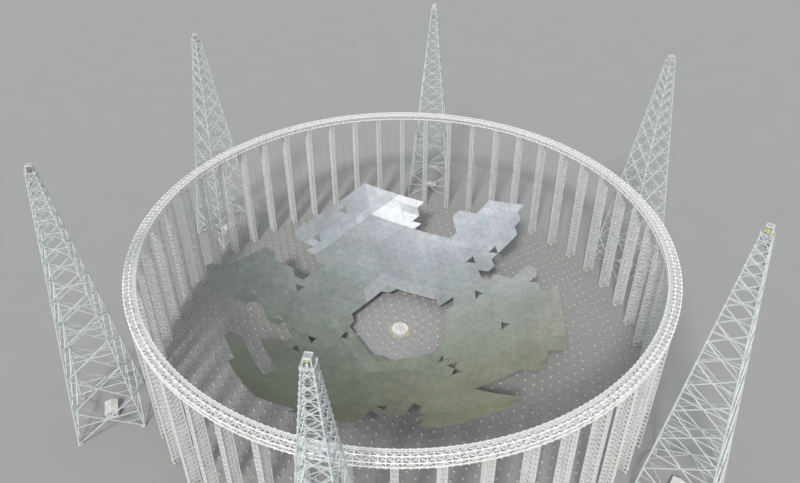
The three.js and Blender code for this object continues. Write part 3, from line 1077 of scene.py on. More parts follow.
def grid(fold: int, rows: Array, places: Array, drop: float) -> Array:
    """Points of one fold of the triangle grid.

    Args:
        fold: which fifth of the dish.
        rows: steps from the centre.
        places: steps along the row from one ridge to the next.
        drop: how far inside the sphere.

    Returns:
        Points, with the shape of rows and one more axis of 3.
    """
    rows, places = np.broadcast_arrays(np.asarray(rows, float), np.asarray(places, float))
    stretched = rows + OUTER_STRETCH * np.maximum(rows - OUTER_FROM, 0)
    reach = math.radians(GRID_EDGE) * stretched / GRID_STEPS
    near, far = [polar(np.sin(reach), GRID_AZIMUTH + ridge * 360 / FOLDS, -np.cos(reach))
                 for ridge in (fold, fold + 1)]
    between = np.arccos(np.clip((near * far).sum(axis=-1), -1, 1))
    share = places / np.maximum(rows, 1)
    way = near * np.sin((1 - share) * between)[..., None] + far * np.sin(share * between)[..., None]
    way = np.where(rows[..., None] > 0, way, near)
    way /= np.linalg.norm(way, axis=-1)[..., None]
    return way * (SPHERE_RADIUS - drop) + [0, 0, SPHERE_CENTRE]


@dataclass
class CableNet:
    """A fifth of the net, its knots, and a tie-down with its winch and pier under each knot."""

    fold: int
    seed: int = 300
    open_rows: int = 2
    reach: float = 247.0
    drop: float = 0.35
    cable: float = 0.055
    edge_cable: float = 0.0715
    ear_inset: float = 0.2
    ear_drop: float = 0.9
    knot: float = 0.42
    knot_half: float = 0.16
    tie: float = 0.035
    winch: float = 0.26
    winch_high: float = 2.4
    pier: Size = (1.9, 1.9, 1.2)

    def cables(self) -> tuple[Array, Array]:
        """Both ends of each cable of the fold, out to the last row.

        Returns:
            The starts and the ends, n by 3 each.
        """
        pairs = []
        for row in range(self.open_rows, GRID_STEPS):
            for place in range(row + 1):
                pairs.append((row, place, row + 1, place))
                if place < row:
                    pairs.append((row, place, row + 1, place + 1))
                    pairs.append((row, place, row, place + 1))
        rows = np.array(pairs)
        return (grid(self.fold, rows[:, 0], rows[:, 1], self.drop),
                grid(self.fold, rows[:, 2], rows[:, 3], self.drop))

    def within(self, points: Array) -> Array:
        """Which points lie inside the net's edge, as booleans."""
        return np.hypot(points[:, 0], points[:, 1]) < self.reach

    def knots(self) -> Array:
        """The fold's knots inside the edge, those of its second ridge left to the next fold.

        Returns:
            Their places, n by 3.
        """
        rows, places = np.array([(row, place) for row in range(self.open_rows, GRID_STEPS)
                                 for place in range(row)]).T
        points = grid(self.fold, rows, places, self.drop)
        return points[self.within(points)]

    def to_ring(self, points: Array) -> Array:
        """Where the nearest ear on the ring holds a cable that would end at each of these points.

        Args:
            points: where the cables would end.

        Returns:
            Where they end at the ring.
        """
        sector = RingSector(0)
        step = sector.module_angle
        line = np.round((azimuths_of(points) - GRID_AZIMUTH) / step) * step + GRID_AZIMUTH
        return polar(sector.radii[0] - self.ear_inset, line, sector.heights[0] - self.ear_drop)

    def hang(self, shape: Shape) -> None:
        """Adds the cables, those over the edge led to the ring.

        Args:
            shape: what gets them.
        """
        starts, ends = self.cables()
        near, far = self.within(starts), self.within(ends)
        shape.bars(starts[near & far], ends[near & far], self.cable)
        edge = near ^ far
        held = np.where(near[edge, None], starts[edge], ends[edge])
        led = np.where(near[edge, None], ends[edge], starts[edge])
        shape.bars(held, self.to_ring(led), self.edge_cable)

    def tie_down(self, shape: Shape) -> None:
        """Adds the knots, and a tie-down, a winch and a pier under each.

        Args:
            shape: what gets them.
        """
        knots = self.knots()
        lift = np.array([0, 0, self.knot_half])
        shape.bars(knots - lift, knots + lift, self.knot, ROUND, FITTING)
        foot = knots * [1, 1, 0]
        top = self.pier[2]
        head = foot + [0, 0, top + self.winch_high]
        shape.bars(head, knots, self.tie, FINE)
        shape.bars(foot + [0, 0, top], head, self.winch, ROUND, FITTING)
        shape.boxes(foot + [0, 0, top / 2], self.pier, finish=CONCRETE)

    def build(self) -> Pieces:
        """Makes the fold's piece.

        Returns:
            The piece in a list.
        """
        shape = Shape(f"net_cables_{self.fold + 1}", CABLE, self.seed + self.fold)
        self.hang(shape)
        self.tie_down(shape)
        return [dress(shape, Slot.CABLE_STEEL, f"cable_net_{self.fold + 1}")]


class Cell(Enum):
    """Which way a triangular cell of the grid points."""

    OUT = 0
    IN = 1


@dataclass(frozen=True)
class Zone:
    """A part of one fold in another tone: from and to a row, a place, and a row less a place."""

    fold: int
    tone: float
    rows: tuple[float, float]
    places: tuple[float, float] = (0, GRID_STEPS)
    across: tuple[float, float] = (0, GRID_STEPS)

    def holds(self, fold: int, middle: Array) -> Array:
        """Which of the cells with these (row, place) middles lie in the zone.

        Args:
            fold: the cells' fold.
            middle: their middles, n by 2.

        Returns:
            A boolean for each cell.
        """
        row, place = middle[:, 0], middle[:, 1]
        found = np.full(len(middle), fold == self.fold)
        for value, (low, high) in ((row, self.rows), (place, self.places), (row - place, self.across)):
            found &= (value > low) & (value < high)
        return found


@dataclass
class Reflector:
    """The panels of one fold that are laid so far, each on its own back frame."""

    fold: int
    seed: int = 400
    shrink: float = 0.982
    frame_drop: float = 0.62
    frame_share: float = 0.86
    sheet_drop: float = 1.42
    sheet: float = 0.09
    rim_painted_shade: float = 0.8
    bar: float = 0.07
    strut: float = 0.056
    hole_rows: int = 6
    # Tone in the middle, its slopes over a span as painted reflection and shade, its drift, and the
    # panels' own differences
    span: float = 150.0
    tone: float = 0.345
    to_east: tuple[float, float] = (0.26, 0.08)
    to_north: tuple[float, float] = (0.275, 0.12)
    drift: float = 0.03
    drift_start: float = 0.7
    drift_lengths: tuple[float, float, float] = (31.0, 43.0, 80.0)
    own_tone: float = 0.035
    own_fade: float = 1.1

    # Outer edge of what is laid in each fold, in grid steps from its first ridge to its second
    EDGES: ClassVar[tuple[tuple[tuple[int, int], ...], ...]] = (
        ((13, 0), (14, 1), (18, 1), (19, 2), (20, 2), (21, 3), (22, 3), (22, 7), (20, 7), (20, 9), (19, 9),
         (17, 7), (16, 7), (16, 11), (17, 11), (17, 12), (18, 12), (19, 13), (20, 13), (20, 20)),
        ((20, 0), (20, 10), (19, 10), (17, 8), (17, 9), (16, 8), (15, 8), (14, 7), (14, 10), (15, 11),
         (16, 11), (18, 13), (19, 13), (20, 14), (20, 20)),
        ((20, 0), (21, 1), (21, 0), (22, 1), (22, 4), (21, 3), (18, 3), (17, 2), (16, 2), (16, 4), (15, 4),
         (14, 3), (14, 5), (15, 6), (16, 6), (17, 7), (18, 7), (18, 11), (20, 13), (20, 8), (21, 8),
         (22, 9), (22, 12), (23, 13), (23, 18), (20, 18), (21, 19), (19, 19)),
        ((19, 0), (19, 3), (16, 3), (17, 4), (17, 6), (15, 6), (16, 7), (17, 7), (18, 8), (18, 7), (19, 8),
         (20, 8), (21, 9), (21, 16), (20, 15), (20, 16), (15, 11), (15, 15)),
        ((17, 0), (18, 1), (18, 3), (20, 3), (20, 12), (19, 11), (18, 11), (18, 12), (17, 12), (18, 13),
         (18, 14), (17, 14), (15, 12), (13, 12), (12, 11), (11, 11)),
    )
    # Single panels that aren't laid yet: row, place and way of each in each fold
    MISSING: ClassVar[tuple[tuple[tuple[int, int, Cell], ...], ...]] = (
        ((13, 2, Cell.IN), (15, 1, Cell.IN), (11, 0, Cell.OUT)),
        ((18, 3, Cell.OUT), (17, 7, Cell.OUT), (13, 10, Cell.IN)),
        ((16, 0, Cell.IN), (14, 2, Cell.IN), (14, 6, Cell.IN), (11, 4, Cell.OUT), (6, 2, Cell.OUT),
         (7, 2, Cell.IN)),
        ((15, 3, Cell.IN), (9, 7, Cell.IN), (10, 8, Cell.OUT), (7, 6, Cell.OUT)),
        ((13, 5, Cell.IN), (17, 1, Cell.OUT), (10, 8, Cell.IN), (5, 5, Cell.OUT), (6, 5, Cell.IN),
         (6, 6, Cell.OUT)),
    )
    ZONES: ClassVar[tuple[Zone, ...]] = (
        Zone(0, 0.75, (16, 23)),
        Zone(0, 0.775, (20, 23), (3, 9)),
        Zone(0, 0.69, (6, 8), (1.6, 8)),
        Zone(0, 0.79, (16, 21), (16, 21)),
        Zone(0, 0.97, (16, 18), (10, 16)),
        Zone(0, 0.92, (18, 21), (10, 16)),
        Zone(0, 0.79, (18, 19), (11, 16), (4, 6)),
        Zone(1, 0.73, (16, 18), (0, 10)),
        Zone(1, 0.68, (18, 21), (0, 8)),
        Zone(1, 0.54, (18, 21), (8, 11)),
        Zone(1, 0.79, (16, 17), (0, 2)),
        Zone(1, 0.54, (19, 20), (4, 6)),
        Zone(1, 0.69, (6, 8), (0, 3)),
        Zone(2, 0.28, (6, 8)),
        Zone(3, 0.37, (6, 8), (0, 4)),
        # A soft bright patch on fold 4's panels, a painted sheen
        Zone(4, 0.69, (18.5, 20.5), (5, 7.2)),
    )

    def cells(self) -> tuple[Array, Array]:
        """The fold's cells as (row, place) corners, and which way each points.

        Returns:
            The corners, n by 3 by 2, and the value of each one's way.
        """
        corners, ways = [], []
        for row in range(GRID_STEPS):
            for place in range(row + 1):
                corners.append(((row, place), (row + 1, place), (row + 1, place + 1)))
                ways.append(Cell.OUT.value)
                if place < row:
                    corners.append(((row, place), (row + 1, place + 1), (row, place + 1)))
                    ways.append(Cell.IN.value)
        return np.array(corners), np.array(ways)

    def laid(self, corners: Array, ways: Array) -> Array:
        """Which cells carry a panel, from their corners and ways.

        Args:
            corners: (row, place) of each cell's corners.
            ways: the value of each one's way.

        Returns:
            A boolean for each cell.
        """
        row, place = corners[:, 0, 0], corners[:, 0, 1]
        keep = inside(corners.mean(axis=1), np.array([(0, 0), *self.EDGES[self.fold]], float))
        last = self.hole_rows - 1
        corner_pair = (row == last) & (ways == Cell.OUT.value) & ((place == 0) | (place == last))
        keep &= (row > last) | corner_pair
        for gap_row, gap_place, way in self.MISSING[self.fold]:
            keep &= ~((row == gap_row) & (place == gap_place) & (ways == way.value))
        return keep

    def tones(self, middle: Array, plan: Array, shape: Shape) -> Array:
        """A tone for each panel, from a slope and a slow drift over the dish, and from the zones.

        The slope is painted reflection and shade, darker at the front and left and paler at the back
        right.
        Each panel also differs a little on its own, and pale panels do so less.

        Args:
            middle: (row, place) of each panel's middle.
            plan: the middles' places in plan.
            shape: whose random numbers are used.

        Returns:
            Tones from 0 to 1.
        """
        x, y = plan.T
        east, north = x / self.span, y / self.span
        first, second, third = self.drift_lengths
        tone = self.tone + self.to_east[0] * east + self.to_east[1] * east**3
        tone = tone + self.to_north[0] * north + self.to_north[1] * north**2
        tone = tone + self.drift * (np.sin(x / first + self.drift_start) + np.sin(y / second - x / third))
        for zone in self.ZONES:
            tone = np.where(zone.holds(self.fold, middle), zone.tone, tone)
        own = shape.random.normal(0, self.own_tone, len(plan)) * (self.own_fade - tone)
        return np.clip(tone + own, 0, 1)

    def sheets(self, shape: Shape, corners: Array, tone: Array) -> None:
        """Adds a thin triangular plate for each panel, its UV map counting the small triangles.

        Args:
            shape: what gets them.
            corners: each panel's corners, n by 3 by 3.
            tone: each panel's tone.
        """
        count = len(corners)
        inward = np.array([0, 0, SPHERE_CENTRE]) - corners
        inward /= np.linalg.norm(inward, axis=2)[..., None]
        base = shape.place(np.concatenate([corners, corners + inward * self.sheet], axis=1))
        base = base + np.arange(count)[:, None] * 6
        flat = np.array([[0, 0], [PANEL.cells, 0], [0, PANEL.cells]])
        for face, places in (([0, 2, 1], flat[[0, 2, 1]]), ([3, 4, 5], flat)):
            shape.cover(np.array([face]) + base, np.broadcast_to(places, (count, 3, 2)), tone=tone)
        sides = np.array([[0, 1, 4, 3], [1, 2, 5, 4], [2, 0, 3, 5]]) + base[:, None]
        rim = np.full((count * 3, 4, 2), 0.5)
        # The sheets' thin sides get a darker tone, a painted shade on their edges
        shape.cover(sides.reshape(-1, 4), rim, tone=np.repeat(tone * self.rim_painted_shade, 3))

    def frames(self, shape: Shape, corners: Array) -> None:
        """Adds the back frames: a lower triangle, its medial one and the legs up to the sheet.

        Args:
            shape: what gets them.
            corners: each panel's corners, n by 3 by 3.
        """
        centre = corners.mean(axis=1, keepdims=True)
        outward = corners - np.array([0, 0, SPHERE_CENTRE])
        outward /= np.linalg.norm(outward, axis=2)[..., None]
        depth = self.sheet_drop - self.frame_drop
        low = (corners - centre) * self.frame_share + centre + outward * depth
        middle = (low + np.roll(low, -1, axis=1)) / 2
        upper = (corners + np.roll(corners, -1, axis=1)) / 2
        for side in range(3):
            after = (side + 1) % 3
            shape.bars(low[:, side], low[:, after], self.bar, FINE, PANEL_FRAME)
            shape.bars(middle[:, side], middle[:, after], self.strut, FINE, PANEL_FRAME)
            shape.bars(low[:, side], corners[:, side], self.bar, FINE, PANEL_FRAME)
            shape.bars(middle[:, side], upper[:, side], self.strut, FINE, PANEL_FRAME)

    def build(self) -> Pieces:
        """Makes the fold's panels.

        Returns:
            The piece in a list.
        """
        shape = Shape(f"panels_{self.fold + 1}", PANEL, self.seed + self.fold)
        corners, ways = self.cells()
        corners = corners[self.laid(corners, ways)]
        points = grid(self.fold, corners[..., 0], corners[..., 1], self.sheet_drop)
        centre = points.mean(axis=1, keepdims=True)
        points = (points - centre) * self.shrink + centre
        LOG.info("fold %d: %d panels", self.fold + 1, len(points))
        self.sheets(shape, points, self.tones(corners.mean(axis=1), centre[:, 0, :2], shape))
        self.frames(shape, points)
        return [dress(shape, Slot.PANEL_ALUMINIUM, f"reflector_{self.fold + 1}")]


# Towers


@dataclass
class AtTower:
    """What stands at one of the six towers, made about the tower's axis with -X to the dish."""

    place: int

    def stand(self, template: Shape, slot: Slot, node: str, height: float = 0.0) -> Pieces:
        """Makes the piece from its template.

        Args:
            template: the shape about the tower's axis, which gives the piece its name.
            slot: the record's material slot.
            node: the CAD nodes' name, without the number of the tower.
            height: how far the template is lifted.

        Returns:
            The piece in a list.
        """
        shape = Shape(f"{template.name}_{self.place + 1}", template.main)
        shape.take(template, TOWER_AZIMUTH + self.place * 360 / TOWERS, (TOWER_CIRCLE, 0, height))
        return [dress(shape, slot, f"{node}_{self.place + 1}")]


@dataclass(frozen=True)
class Ladder:
    """A ladder up a tower's leg, with railed rest platforms."""

    half: float = 0.35
    stile: float = 0.08
    rung: float = 0.05
    rung_step: float = 0.9
    platform: Size = (2.0, 2.6, 0.12)
    platform_place: Place = (-0.6, -1.2, 0.35)
    rail: float = 0.06
    rail_corner: Place = (-1.55, -2.45, 0.35)
    rail_spans: Size = (1.9, 2.5, 1.1)

    def climb(self, shape: Shape, foot: Array, head: Array) -> None:
        """Adds the stiles and the rungs between two points.

        Args:
            shape: what gets them.
            foot: the lower point.
            head: the upper point.
        """
        aside = np.array([0, self.half, 0])
        for side in (-1, 1):
            shape.rod(foot + side * aside, head + side * aside, self.stile, FINE)
        count = int((head[2] - foot[2]) / self.rung_step)
        for step in range(count):
            middle = foot + (head - foot) * (step + 0.5) / count
            shape.rod(middle - aside, middle + aside, self.rung, FINE)

    def rest(self, shape: Shape, head: Array) -> None:
        """Adds a rest platform with a rail on its two outer sides.

        Args:
            shape: what gets them.
            head: the ladder's middle at the platform.
        """
        shape.boxes(head + self.platform_place, self.platform, finish=GRATING)
        corner = head + self.rail_corner
        along, across, up = np.diag(self.rail_spans)
        for post in (corner, corner + along, corner + across):
            shape.rod(post, post + up, self.rail, FINE)
        for way in (along, across):
            shape.rod(corner + up, corner + way + up, self.rail, FINE)


@dataclass(frozen=True)
class PadStep:
    """One step of the pad under a leg, its axis this far in from the tower's outer edge."""

    inset: float
    wide: float
    middle: float
    high: float
    finish: Finish | None = None


@dataclass
class Tower(AtTower):
    """A square tapered lattice tower, a flat side to the dish."""

    seed: int = 11
    top_wide: float = 7.3
    taper: float = 0.193
    low: float = 1.2
    leg_low: float = 0.85
    leg_loss: float = 0.4
    long_brace: float = 34.0
    brace: tuple[float, float] = (0.35, 0.003)
    strut: tuple[float, float] = (0.26, 0.003)
    stub: float = 0.2
    diamond: float = 0.24
    leg_knot: Size = (1.3, 1.3, 1.7)
    strut_knot: Size = (1.2, 1.2, 1.0)
    diamond_knot: Size = (1.1, 1.1, 1.1)
    top_ring: float = 0.6
    ladder_place: Place = (1.6, 1.2, 0.0)
    pad_clear: float = 0.02
    pad: tuple[PadStep, ...] = (PadStep(2.1, 4.2, 0.3, 0.6, CONCRETE),
                                PadStep(1.4, 2.6, 0.85, 0.5, CONCRETE),
                                PadStep(1.0, 1.9, 1.16, 0.14))
    bays: tuple[float, ...] = (37.5, 37.1, 31.8, 27.8, 23.6, 20.3, 18.3, 15.1, 13.5, 11.5, 9.6, 8.5,
                               7.5, 9.4)

    @property
    def levels(self) -> list[float]:
        """Heights where the diagonals meet the legs, from the feet to the deck."""
        return [self.low, *map(float, np.cumsum(self.bays))]

    def leg(self, height: float) -> float:
        """A leg's radius at a height."""
        return self.leg_low - self.leg_loss * height / TOWER_TOP

    def corners(self, height: float) -> Array:
        """The legs' centres at a height, going round."""
        half = (self.top_wide + self.taper * (TOWER_TOP - height)) / 2 - self.leg(height)
        return rectangle(half, half, height)

    @staticmethod
    def thickness(bar: tuple[float, float], wide: float) -> float:
        """A bar's radius at a place this wide, from its least radius and its growth a metre."""
        return round(bar[0] + bar[1] * wide, 2)

    def bay(self, shape: Shape, low: float, high: float) -> None:
        """Adds one bay: four legs, a cross on each side, and a level ring through the crosses.

        Args:
            shape: what gets it.
            low: height of the bay's lower nodes.
            high: height of its upper nodes.
        """
        under, over = self.corners(low), self.corners(high)
        shape.bars(under, over, (self.leg(low), self.leg(high)), ROUND)
        wide, narrow = float(under[0][0] - under[1][0]), float(over[0][0] - over[1][0])
        share = wide / (wide + narrow)
        shape.crosses(under, over, self.thickness(self.brace, wide))
        if wide > self.long_brace:
            for side in range(4):
                self.stubs(shape, np.roll(under, -side, axis=0), np.roll(over, -side, axis=0), share)
        self.level(shape, low + (high - low) * share)
        shape.boxes(over, self.leg_knot)

    def stubs(self, shape: Shape, under: Array, over: Array, share: float) -> None:
        """Adds the short bars that hold a long cross to the two legs beside it.

        Args:
            shape: what gets them.
            under: the bay's lower corners, the cross between the first two.
            over: its upper corners.
            share: how far up the bay the cross has its middle.
        """
        cross = under[0] + (over[1] - under[0]) * share
        for corner in (0, 1):
            leg = under[corner] + (over[corner] - under[corner]) * share
            for end in (under[corner], over[corner]):
                shape.rod((end + cross) / 2, (leg + end) / 2, self.stub, FINE)

    def level(self, shape: Shape, height: float) -> None:
        """Adds a ring of struts at a height, its gussets and the diamond that keeps it square.

        Args:
            shape: what gets them.
            height: the struts' height.
        """
        ring = self.corners(height)
        middles = (ring + np.roll(ring, -1, axis=0)) / 2
        shape.hoop(ring, self.thickness(self.strut, float(ring[0][0] - ring[1][0])))
        shape.hoop(middles, self.diamond)
        shape.boxes(ring, self.strut_knot)
        shape.boxes(middles, self.diamond_knot)

    def ladder(self, shape: Shape) -> None:
        """Adds the ladder up one leg, with a rest platform at each level but the top.

        Args:
            shape: what gets them.
        """
        ladder = Ladder()
        for low, high in zip(self.levels, self.levels[1:]):
            foot, head = [self.corners(height)[0] - self.ladder_place for height in (low, high)]
            ladder.climb(shape, foot, head)
            if high < self.levels[-1]:
                ladder.rest(shape, head)

    def pads(self, shape: Shape) -> None:
        """Adds the stepped concrete pad and base plate under each leg.

        Args:
            shape: what gets them.
        """
        half = (self.top_wide + self.taper * TOWER_TOP) / 2 - self.pad_clear
        for x, y in CORNERS:
            for step in self.pad:
                centre = (x * (half - step.inset), y * (half - step.inset), step.middle)
                shape.boxes(centre, (step.wide, step.wide, step.high), finish=step.finish)

    def build(self) -> Pieces:
        """Makes the tower's piece.

        Returns:
            The piece in a list.
        """
        lattice = Shape("tower_lattice", TOWER_STEEL, self.seed)
        for low, high in zip(self.levels, self.levels[1:]):
            self.bay(lattice, low, high)
        self.level(lattice, TOWER_TOP - self.top_ring)
        self.ladder(lattice)
        self.pads(lattice)
        return self.stand(lattice, Slot.TOWER_STEEL, "tower")


@dataclass(frozen=True)
class Disc:
    """A disc of the rope pulley: its middle on the axle, half its thickness, its radius and sides."""

    middle: float
    half: float
    radius: float
    sides: int


@dataclass
class TowerHead(AtTower):
    """The deck on a tower, its open frame that narrows upwards, and the rope pulley in the frame.

    Heights are over the deck's underside.
    """

    seed: int = 13
    seat: float = 0.006
    # Deck
    deck: float = 8.0
    edge_wide: float = 0.4
    edge_high: float = 0.7
    deck_slot: tuple[float, float] = (4.8, 1.8)
    bearer_wide: float = 0.3
    bearer_high: float = 0.5
    bearer_middle: float = 0.3
    mesh: float = 0.16
    mesh_middle: float = 0.58
    mesh_inset: float = 0.1
    rail: float = 0.07
    rail_high: float = 1.15
    rail_inset: float = 0.12
    rail_posts: int = 4
    # Frame and roof
    wide: float = 6.2
    top_wide: float = 4.6
    roof: float = 6.3
    high: float = 6.9
    post_foot: float = 0.6
    outer_post: float = 0.36
    inner_post: float = 0.2
    axle_height: float = 2.4
    bearing_beam: tuple[float, float] = (0.3, 0.34)
    bearing_beam_inset: float = 0.4
    bearing: Size = (0.8, 0.6, 0.8)
    brace: float = 0.11
    stay: float = 0.09
    outer_beam: float = 0.7
    inner_beam: float = 0.5
    beam_high: float = 0.8
    side_beam: tuple[float, float] = (0.4, 0.7)
    roof_mesh_drop: float = 0.25
    roof_rail_inset: float = 0.1
    # Pulley
    pulley: float = 2.05
    flange_place: float = 0.34
    flange_half: float = 0.1
    rope_seat: Disc = Disc(0.0, 0.3, 1.8, 28)
    hub: Disc = Disc(0.0, 0.66, 0.6, 16)
    axle: float = 0.28
    axle_sides: int = 12
    axle_inset: float = 0.3
    spokes: int = 6
    spoke: float = 0.12
    spoke_place: float = 0.47
    spoke_ends: tuple[float, float] = (0.5, 1.9)
    # Hoop, drive boxes and plates
    hoop_place: float = 1.6
    hoop: float = 2.45
    hoop_bar: float = 0.24
    hoop_steps: int = 12
    hoop_height: float = 1.7
    hoop_lap: float = 0.05
    drives: tuple[tuple[Place, Size], ...] = (((2.3, 0.0, 1.25), (0.9, 1.3, 1.1)),
                                              ((2.35, 0.0, 2.3), (0.8, 1.2, 1.0)))
    plate: float = 0.08
    plate_foot: float = 1.2
    plate_inset: float = 0.25
    plate_edge: float = 0.35
    opening_half: float = 0.8
    opening: tuple[float, float] = (2.1, 4.3)
    # First head with a yellow pulley
    yellow_from: int = 4

    @property
    def machine(self) -> Finish:
        """The pulley's paint: yellow on the two heads nearest the camera, the tower's on the others."""
        return YELLOW_PAINT if self.place >= self.yellow_from else TOWER_STEEL

    def railing(self, shape: Shape, half: float, height: float, tall: float) -> None:
        """Adds a railing round a square deck.

        Args:
            shape: what gets them.
            half: half the deck's width.
            height: the deck's height.
            tall: how far the railing stands over the deck.
        """
        ring = rectangle(half, half, height)
        for start, end in zip(ring, np.roll(ring, -1, axis=0)):
            for rise in (tall / 2, tall):
                shape.rod(start + [0, 0, rise], end + [0, 0, rise], self.rail, FINE)
            for post in range(self.rail_posts):
                foot = start + (end - start) * (post / self.rail_posts)
                shape.rod(foot, foot + [0, 0, tall], self.rail, FINE)

    def floor(self, shape: Shape) -> None:
        """Adds the deck: edge beams, bearers and a grating round the pulley's slot.

        Args:
            shape: what gets them.
        """
        half, long, wide = self.deck / 2, self.deck_slot[0] / 2, self.deck_slot[1] / 2
        edge, middle = half - self.edge_wide / 2, self.edge_high / 2
        between = self.deck - 2 * self.edge_wide
        bearer = wide + self.bearer_wide / 2
        inset = 2 * self.mesh_inset
        for side in (-1, 1):
            shape.boxes((side * edge, 0, middle), (self.edge_wide, self.deck, self.edge_high))
            shape.boxes((0, side * edge, middle), (between, self.edge_wide, self.edge_high))
            shape.boxes((0, side * bearer, self.bearer_middle),
                        (between, self.bearer_wide, self.bearer_high), finish=TOWER_STEEL)
            shape.boxes((side * (half + long) / 2, 0, self.mesh_middle),
                        (half - long, self.deck - inset, self.mesh), finish=GRATING)
            shape.boxes((0, side * (half + wide) / 2, self.mesh_middle),
                        (2 * long, half - wide - inset, self.mesh), finish=GRATING)
        self.railing(shape, half - self.rail_inset, self.edge_high, self.rail_high)

    def spread(self, rise: float) -> float:
        """Half the frame's width at a height."""
        return (self.wide - (self.wide - self.top_wide) * rise / self.high) / 2

    def posts(self, shape: Shape) -> None:
        """Adds the posts, the pulley's bearing beams and their braces.

        Args:
            shape: what gets them.
        """
        crown = self.roof - self.beam_high / 2
        near, far = self.spread(self.post_foot) - self.outer_post, self.spread(crown) - self.outer_post
        beam = self.spread(self.axle_height) - self.bearing_beam_inset
        for side in (-1, 1):
            for way, post in ((1, self.outer_post), (-1, self.inner_post)):
                shape.rod((way * near, side * near, self.post_foot), (way * far, side * far, crown), post)
            paint = self.machine if side < 0 else FITTING
            centre = (0, side * beam, self.axle_height)
            shape.boxes(centre, (2 * beam, *self.bearing_beam), finish=paint)
            shape.boxes(centre, self.bearing, finish=paint)
            shape.rod((near, side * near, self.post_foot), centre, self.brace)
            shape.rod((beam, side * beam, self.axle_height), (-far, side * far, crown), self.stay)

    def crown(self, shape: Shape) -> None:
        """Adds the roof's beams, grating and railing.

        Args:
            shape: what gets them.
        """
        half, wide = self.top_wide / 2, self.top_wide - self.outer_beam - self.inner_beam
        deep, high = self.side_beam
        for side, thick in ((1, self.outer_beam), (-1, self.inner_beam)):
            shape.boxes((side * (half - thick / 2), 0, self.roof - self.beam_high / 2),
                        (thick, self.top_wide, self.beam_high))
            shape.boxes((0, side * (half - deep / 2), self.roof - high / 2), (wide, deep, high))
        shape.boxes(((self.inner_beam - self.outer_beam) / 2, 0, self.roof - self.roof_mesh_drop),
                    (wide, self.top_wide - 2 * deep, self.mesh), finish=GRATING)
        inset = self.roof_rail_inset
        self.railing(shape, half - inset, self.roof, self.high - self.roof - inset)

    def disc(self, shape: Shape, disc: Disc, finish: Finish) -> None:
        """Adds a disc across the pulley's axis."""
        start, end = [(0, disc.middle + way * disc.half, self.axle_height) for way in (-1, 1)]
        shape.bars(start, end, disc.radius, disc.sides, finish)

    def wheel(self, shape: Shape) -> None:
        """Adds the grooved pulley with its hub and spokes on a tangential axle.

        Args:
            shape: what gets them.
        """
        for side, paint in ((-1, self.machine), (1, FITTING)):
            flange = Disc(side * self.flange_place, self.flange_half, self.pulley, self.rope_seat.sides)
            self.disc(shape, flange, paint)
        self.disc(shape, self.rope_seat, FITTING)
        self.disc(shape, self.hub, self.machine)
        reach = self.spread(self.axle_height) - self.axle_inset
        self.disc(shape, Disc(0.0, reach, self.axle, self.axle_sides), self.machine)
        centre = np.array([0, 0, self.axle_height])
        for turn in np.arange(self.spokes) * 2 * np.pi / self.spokes:
            way = np.array([math.cos(turn), 0, math.sin(turn)])
            for side, paint in ((-1, self.machine), (1, FITTING)):
                start, end = [centre + way * far + [0, side * self.spoke_place, 0]
                              for far in self.spoke_ends]
                shape.rod(start, end, self.spoke, finish=paint)

    def guard(self, shape: Shape) -> None:
        """Adds the hoop over the pulley's outer side with its two legs, and the drive boxes under it.

        Args:
            shape: what gets them.
        """
        turns = np.linspace(0, np.pi, self.hoop_steps + 1)
        arc = np.column_stack([np.full(len(turns), self.hoop_place), self.hoop * np.cos(turns),
                               self.hoop_height + self.hoop * np.sin(turns)])
        for start, end in zip(arc, arc[1:]):
            shape.rod(start, end, self.hoop_bar, finish=self.machine)
        for side in (-1, 1):
            foot, head = [(self.hoop_place, side * self.hoop, height)
                          for height in (self.edge_high, self.hoop_height + self.hoop_lap)]
            shape.rod(foot, head, self.hoop_bar, finish=self.machine)
        for centre, size in self.drives:
            shape.boxes(centre, size)

    def shield(self, shape: Shape) -> None:
        """Adds the plates round the rope opening on the dish side.

        Args:
            shape: what gets them.
        """
        width = self.spread(self.roof)
        place, half, gap = self.plate_inset - width, width - self.plate_edge, self.opening_half
        foot, crown = self.plate_foot, self.roof - self.beam_high
        for side in (-1, 1):
            shape.boxes((place, side * (half + gap) / 2, (foot + crown) / 2),
                        (self.plate, half - gap, crown - foot))
        for bottom, top in ((foot, self.opening[0]), (self.opening[1], crown)):
            shape.boxes((place, 0, (bottom + top) / 2), (self.plate, 2 * gap, top - bottom))

    def build(self) -> Pieces:
        """Makes the head's piece.

        Returns:
            The piece in a list.
        """
        head = Shape("head_frame", WHITE_PAINT, self.seed)
        for step in (self.floor, self.posts, self.crown, self.wheel, self.guard, self.shield):
            step(head)
        return self.stand(head, Slot.WHITE_PAINT, "tower_head", TOWER_TOP + self.seat)


@dataclass(frozen=True)
class Window:
    """A framed window with a bar, a head and a sill."""

    wide: float = 2.0
    high: float = 1.5
    glass: float = 0.3
    bar: float = 0.1
    bar_deep: float = 0.42
    trim: float = 0.16
    trim_deep: float = 0.46
    sill: float = 2.3
    sill_place: float = 0.8

    def build(self, shape: Shape, centre: Point, along_y: bool) -> None:
        """Adds the window to a wall.

        Args:
            shape: what gets them.
            centre: the window's middle.
            along_y: the wall runs along Y and not along X.
        """
        def lying(wide: float, thick: float, high: float) -> Size:
            """A box's size, the thick side through the wall."""
            return (thick, wide, high) if along_y else (wide, thick, high)

        x, y, z = centre
        shape.boxes(centre, lying(self.wide, self.glass, self.high), finish=GLASS)
        shape.boxes(centre, lying(self.bar, self.bar_deep, self.high))
        for lift in (-self.sill_place, self.sill_place):
            shape.boxes((x, y, z + lift), lying(self.sill, self.trim_deep, self.trim))
        reach = (self.wide + self.trim) / 2
        for shift in (-reach, reach):
            jamb = (x, y + shift, z) if along_y else (x + shift, y, z)
            shape.boxes(jamb, lying(self.trim, self.trim_deep, self.high))


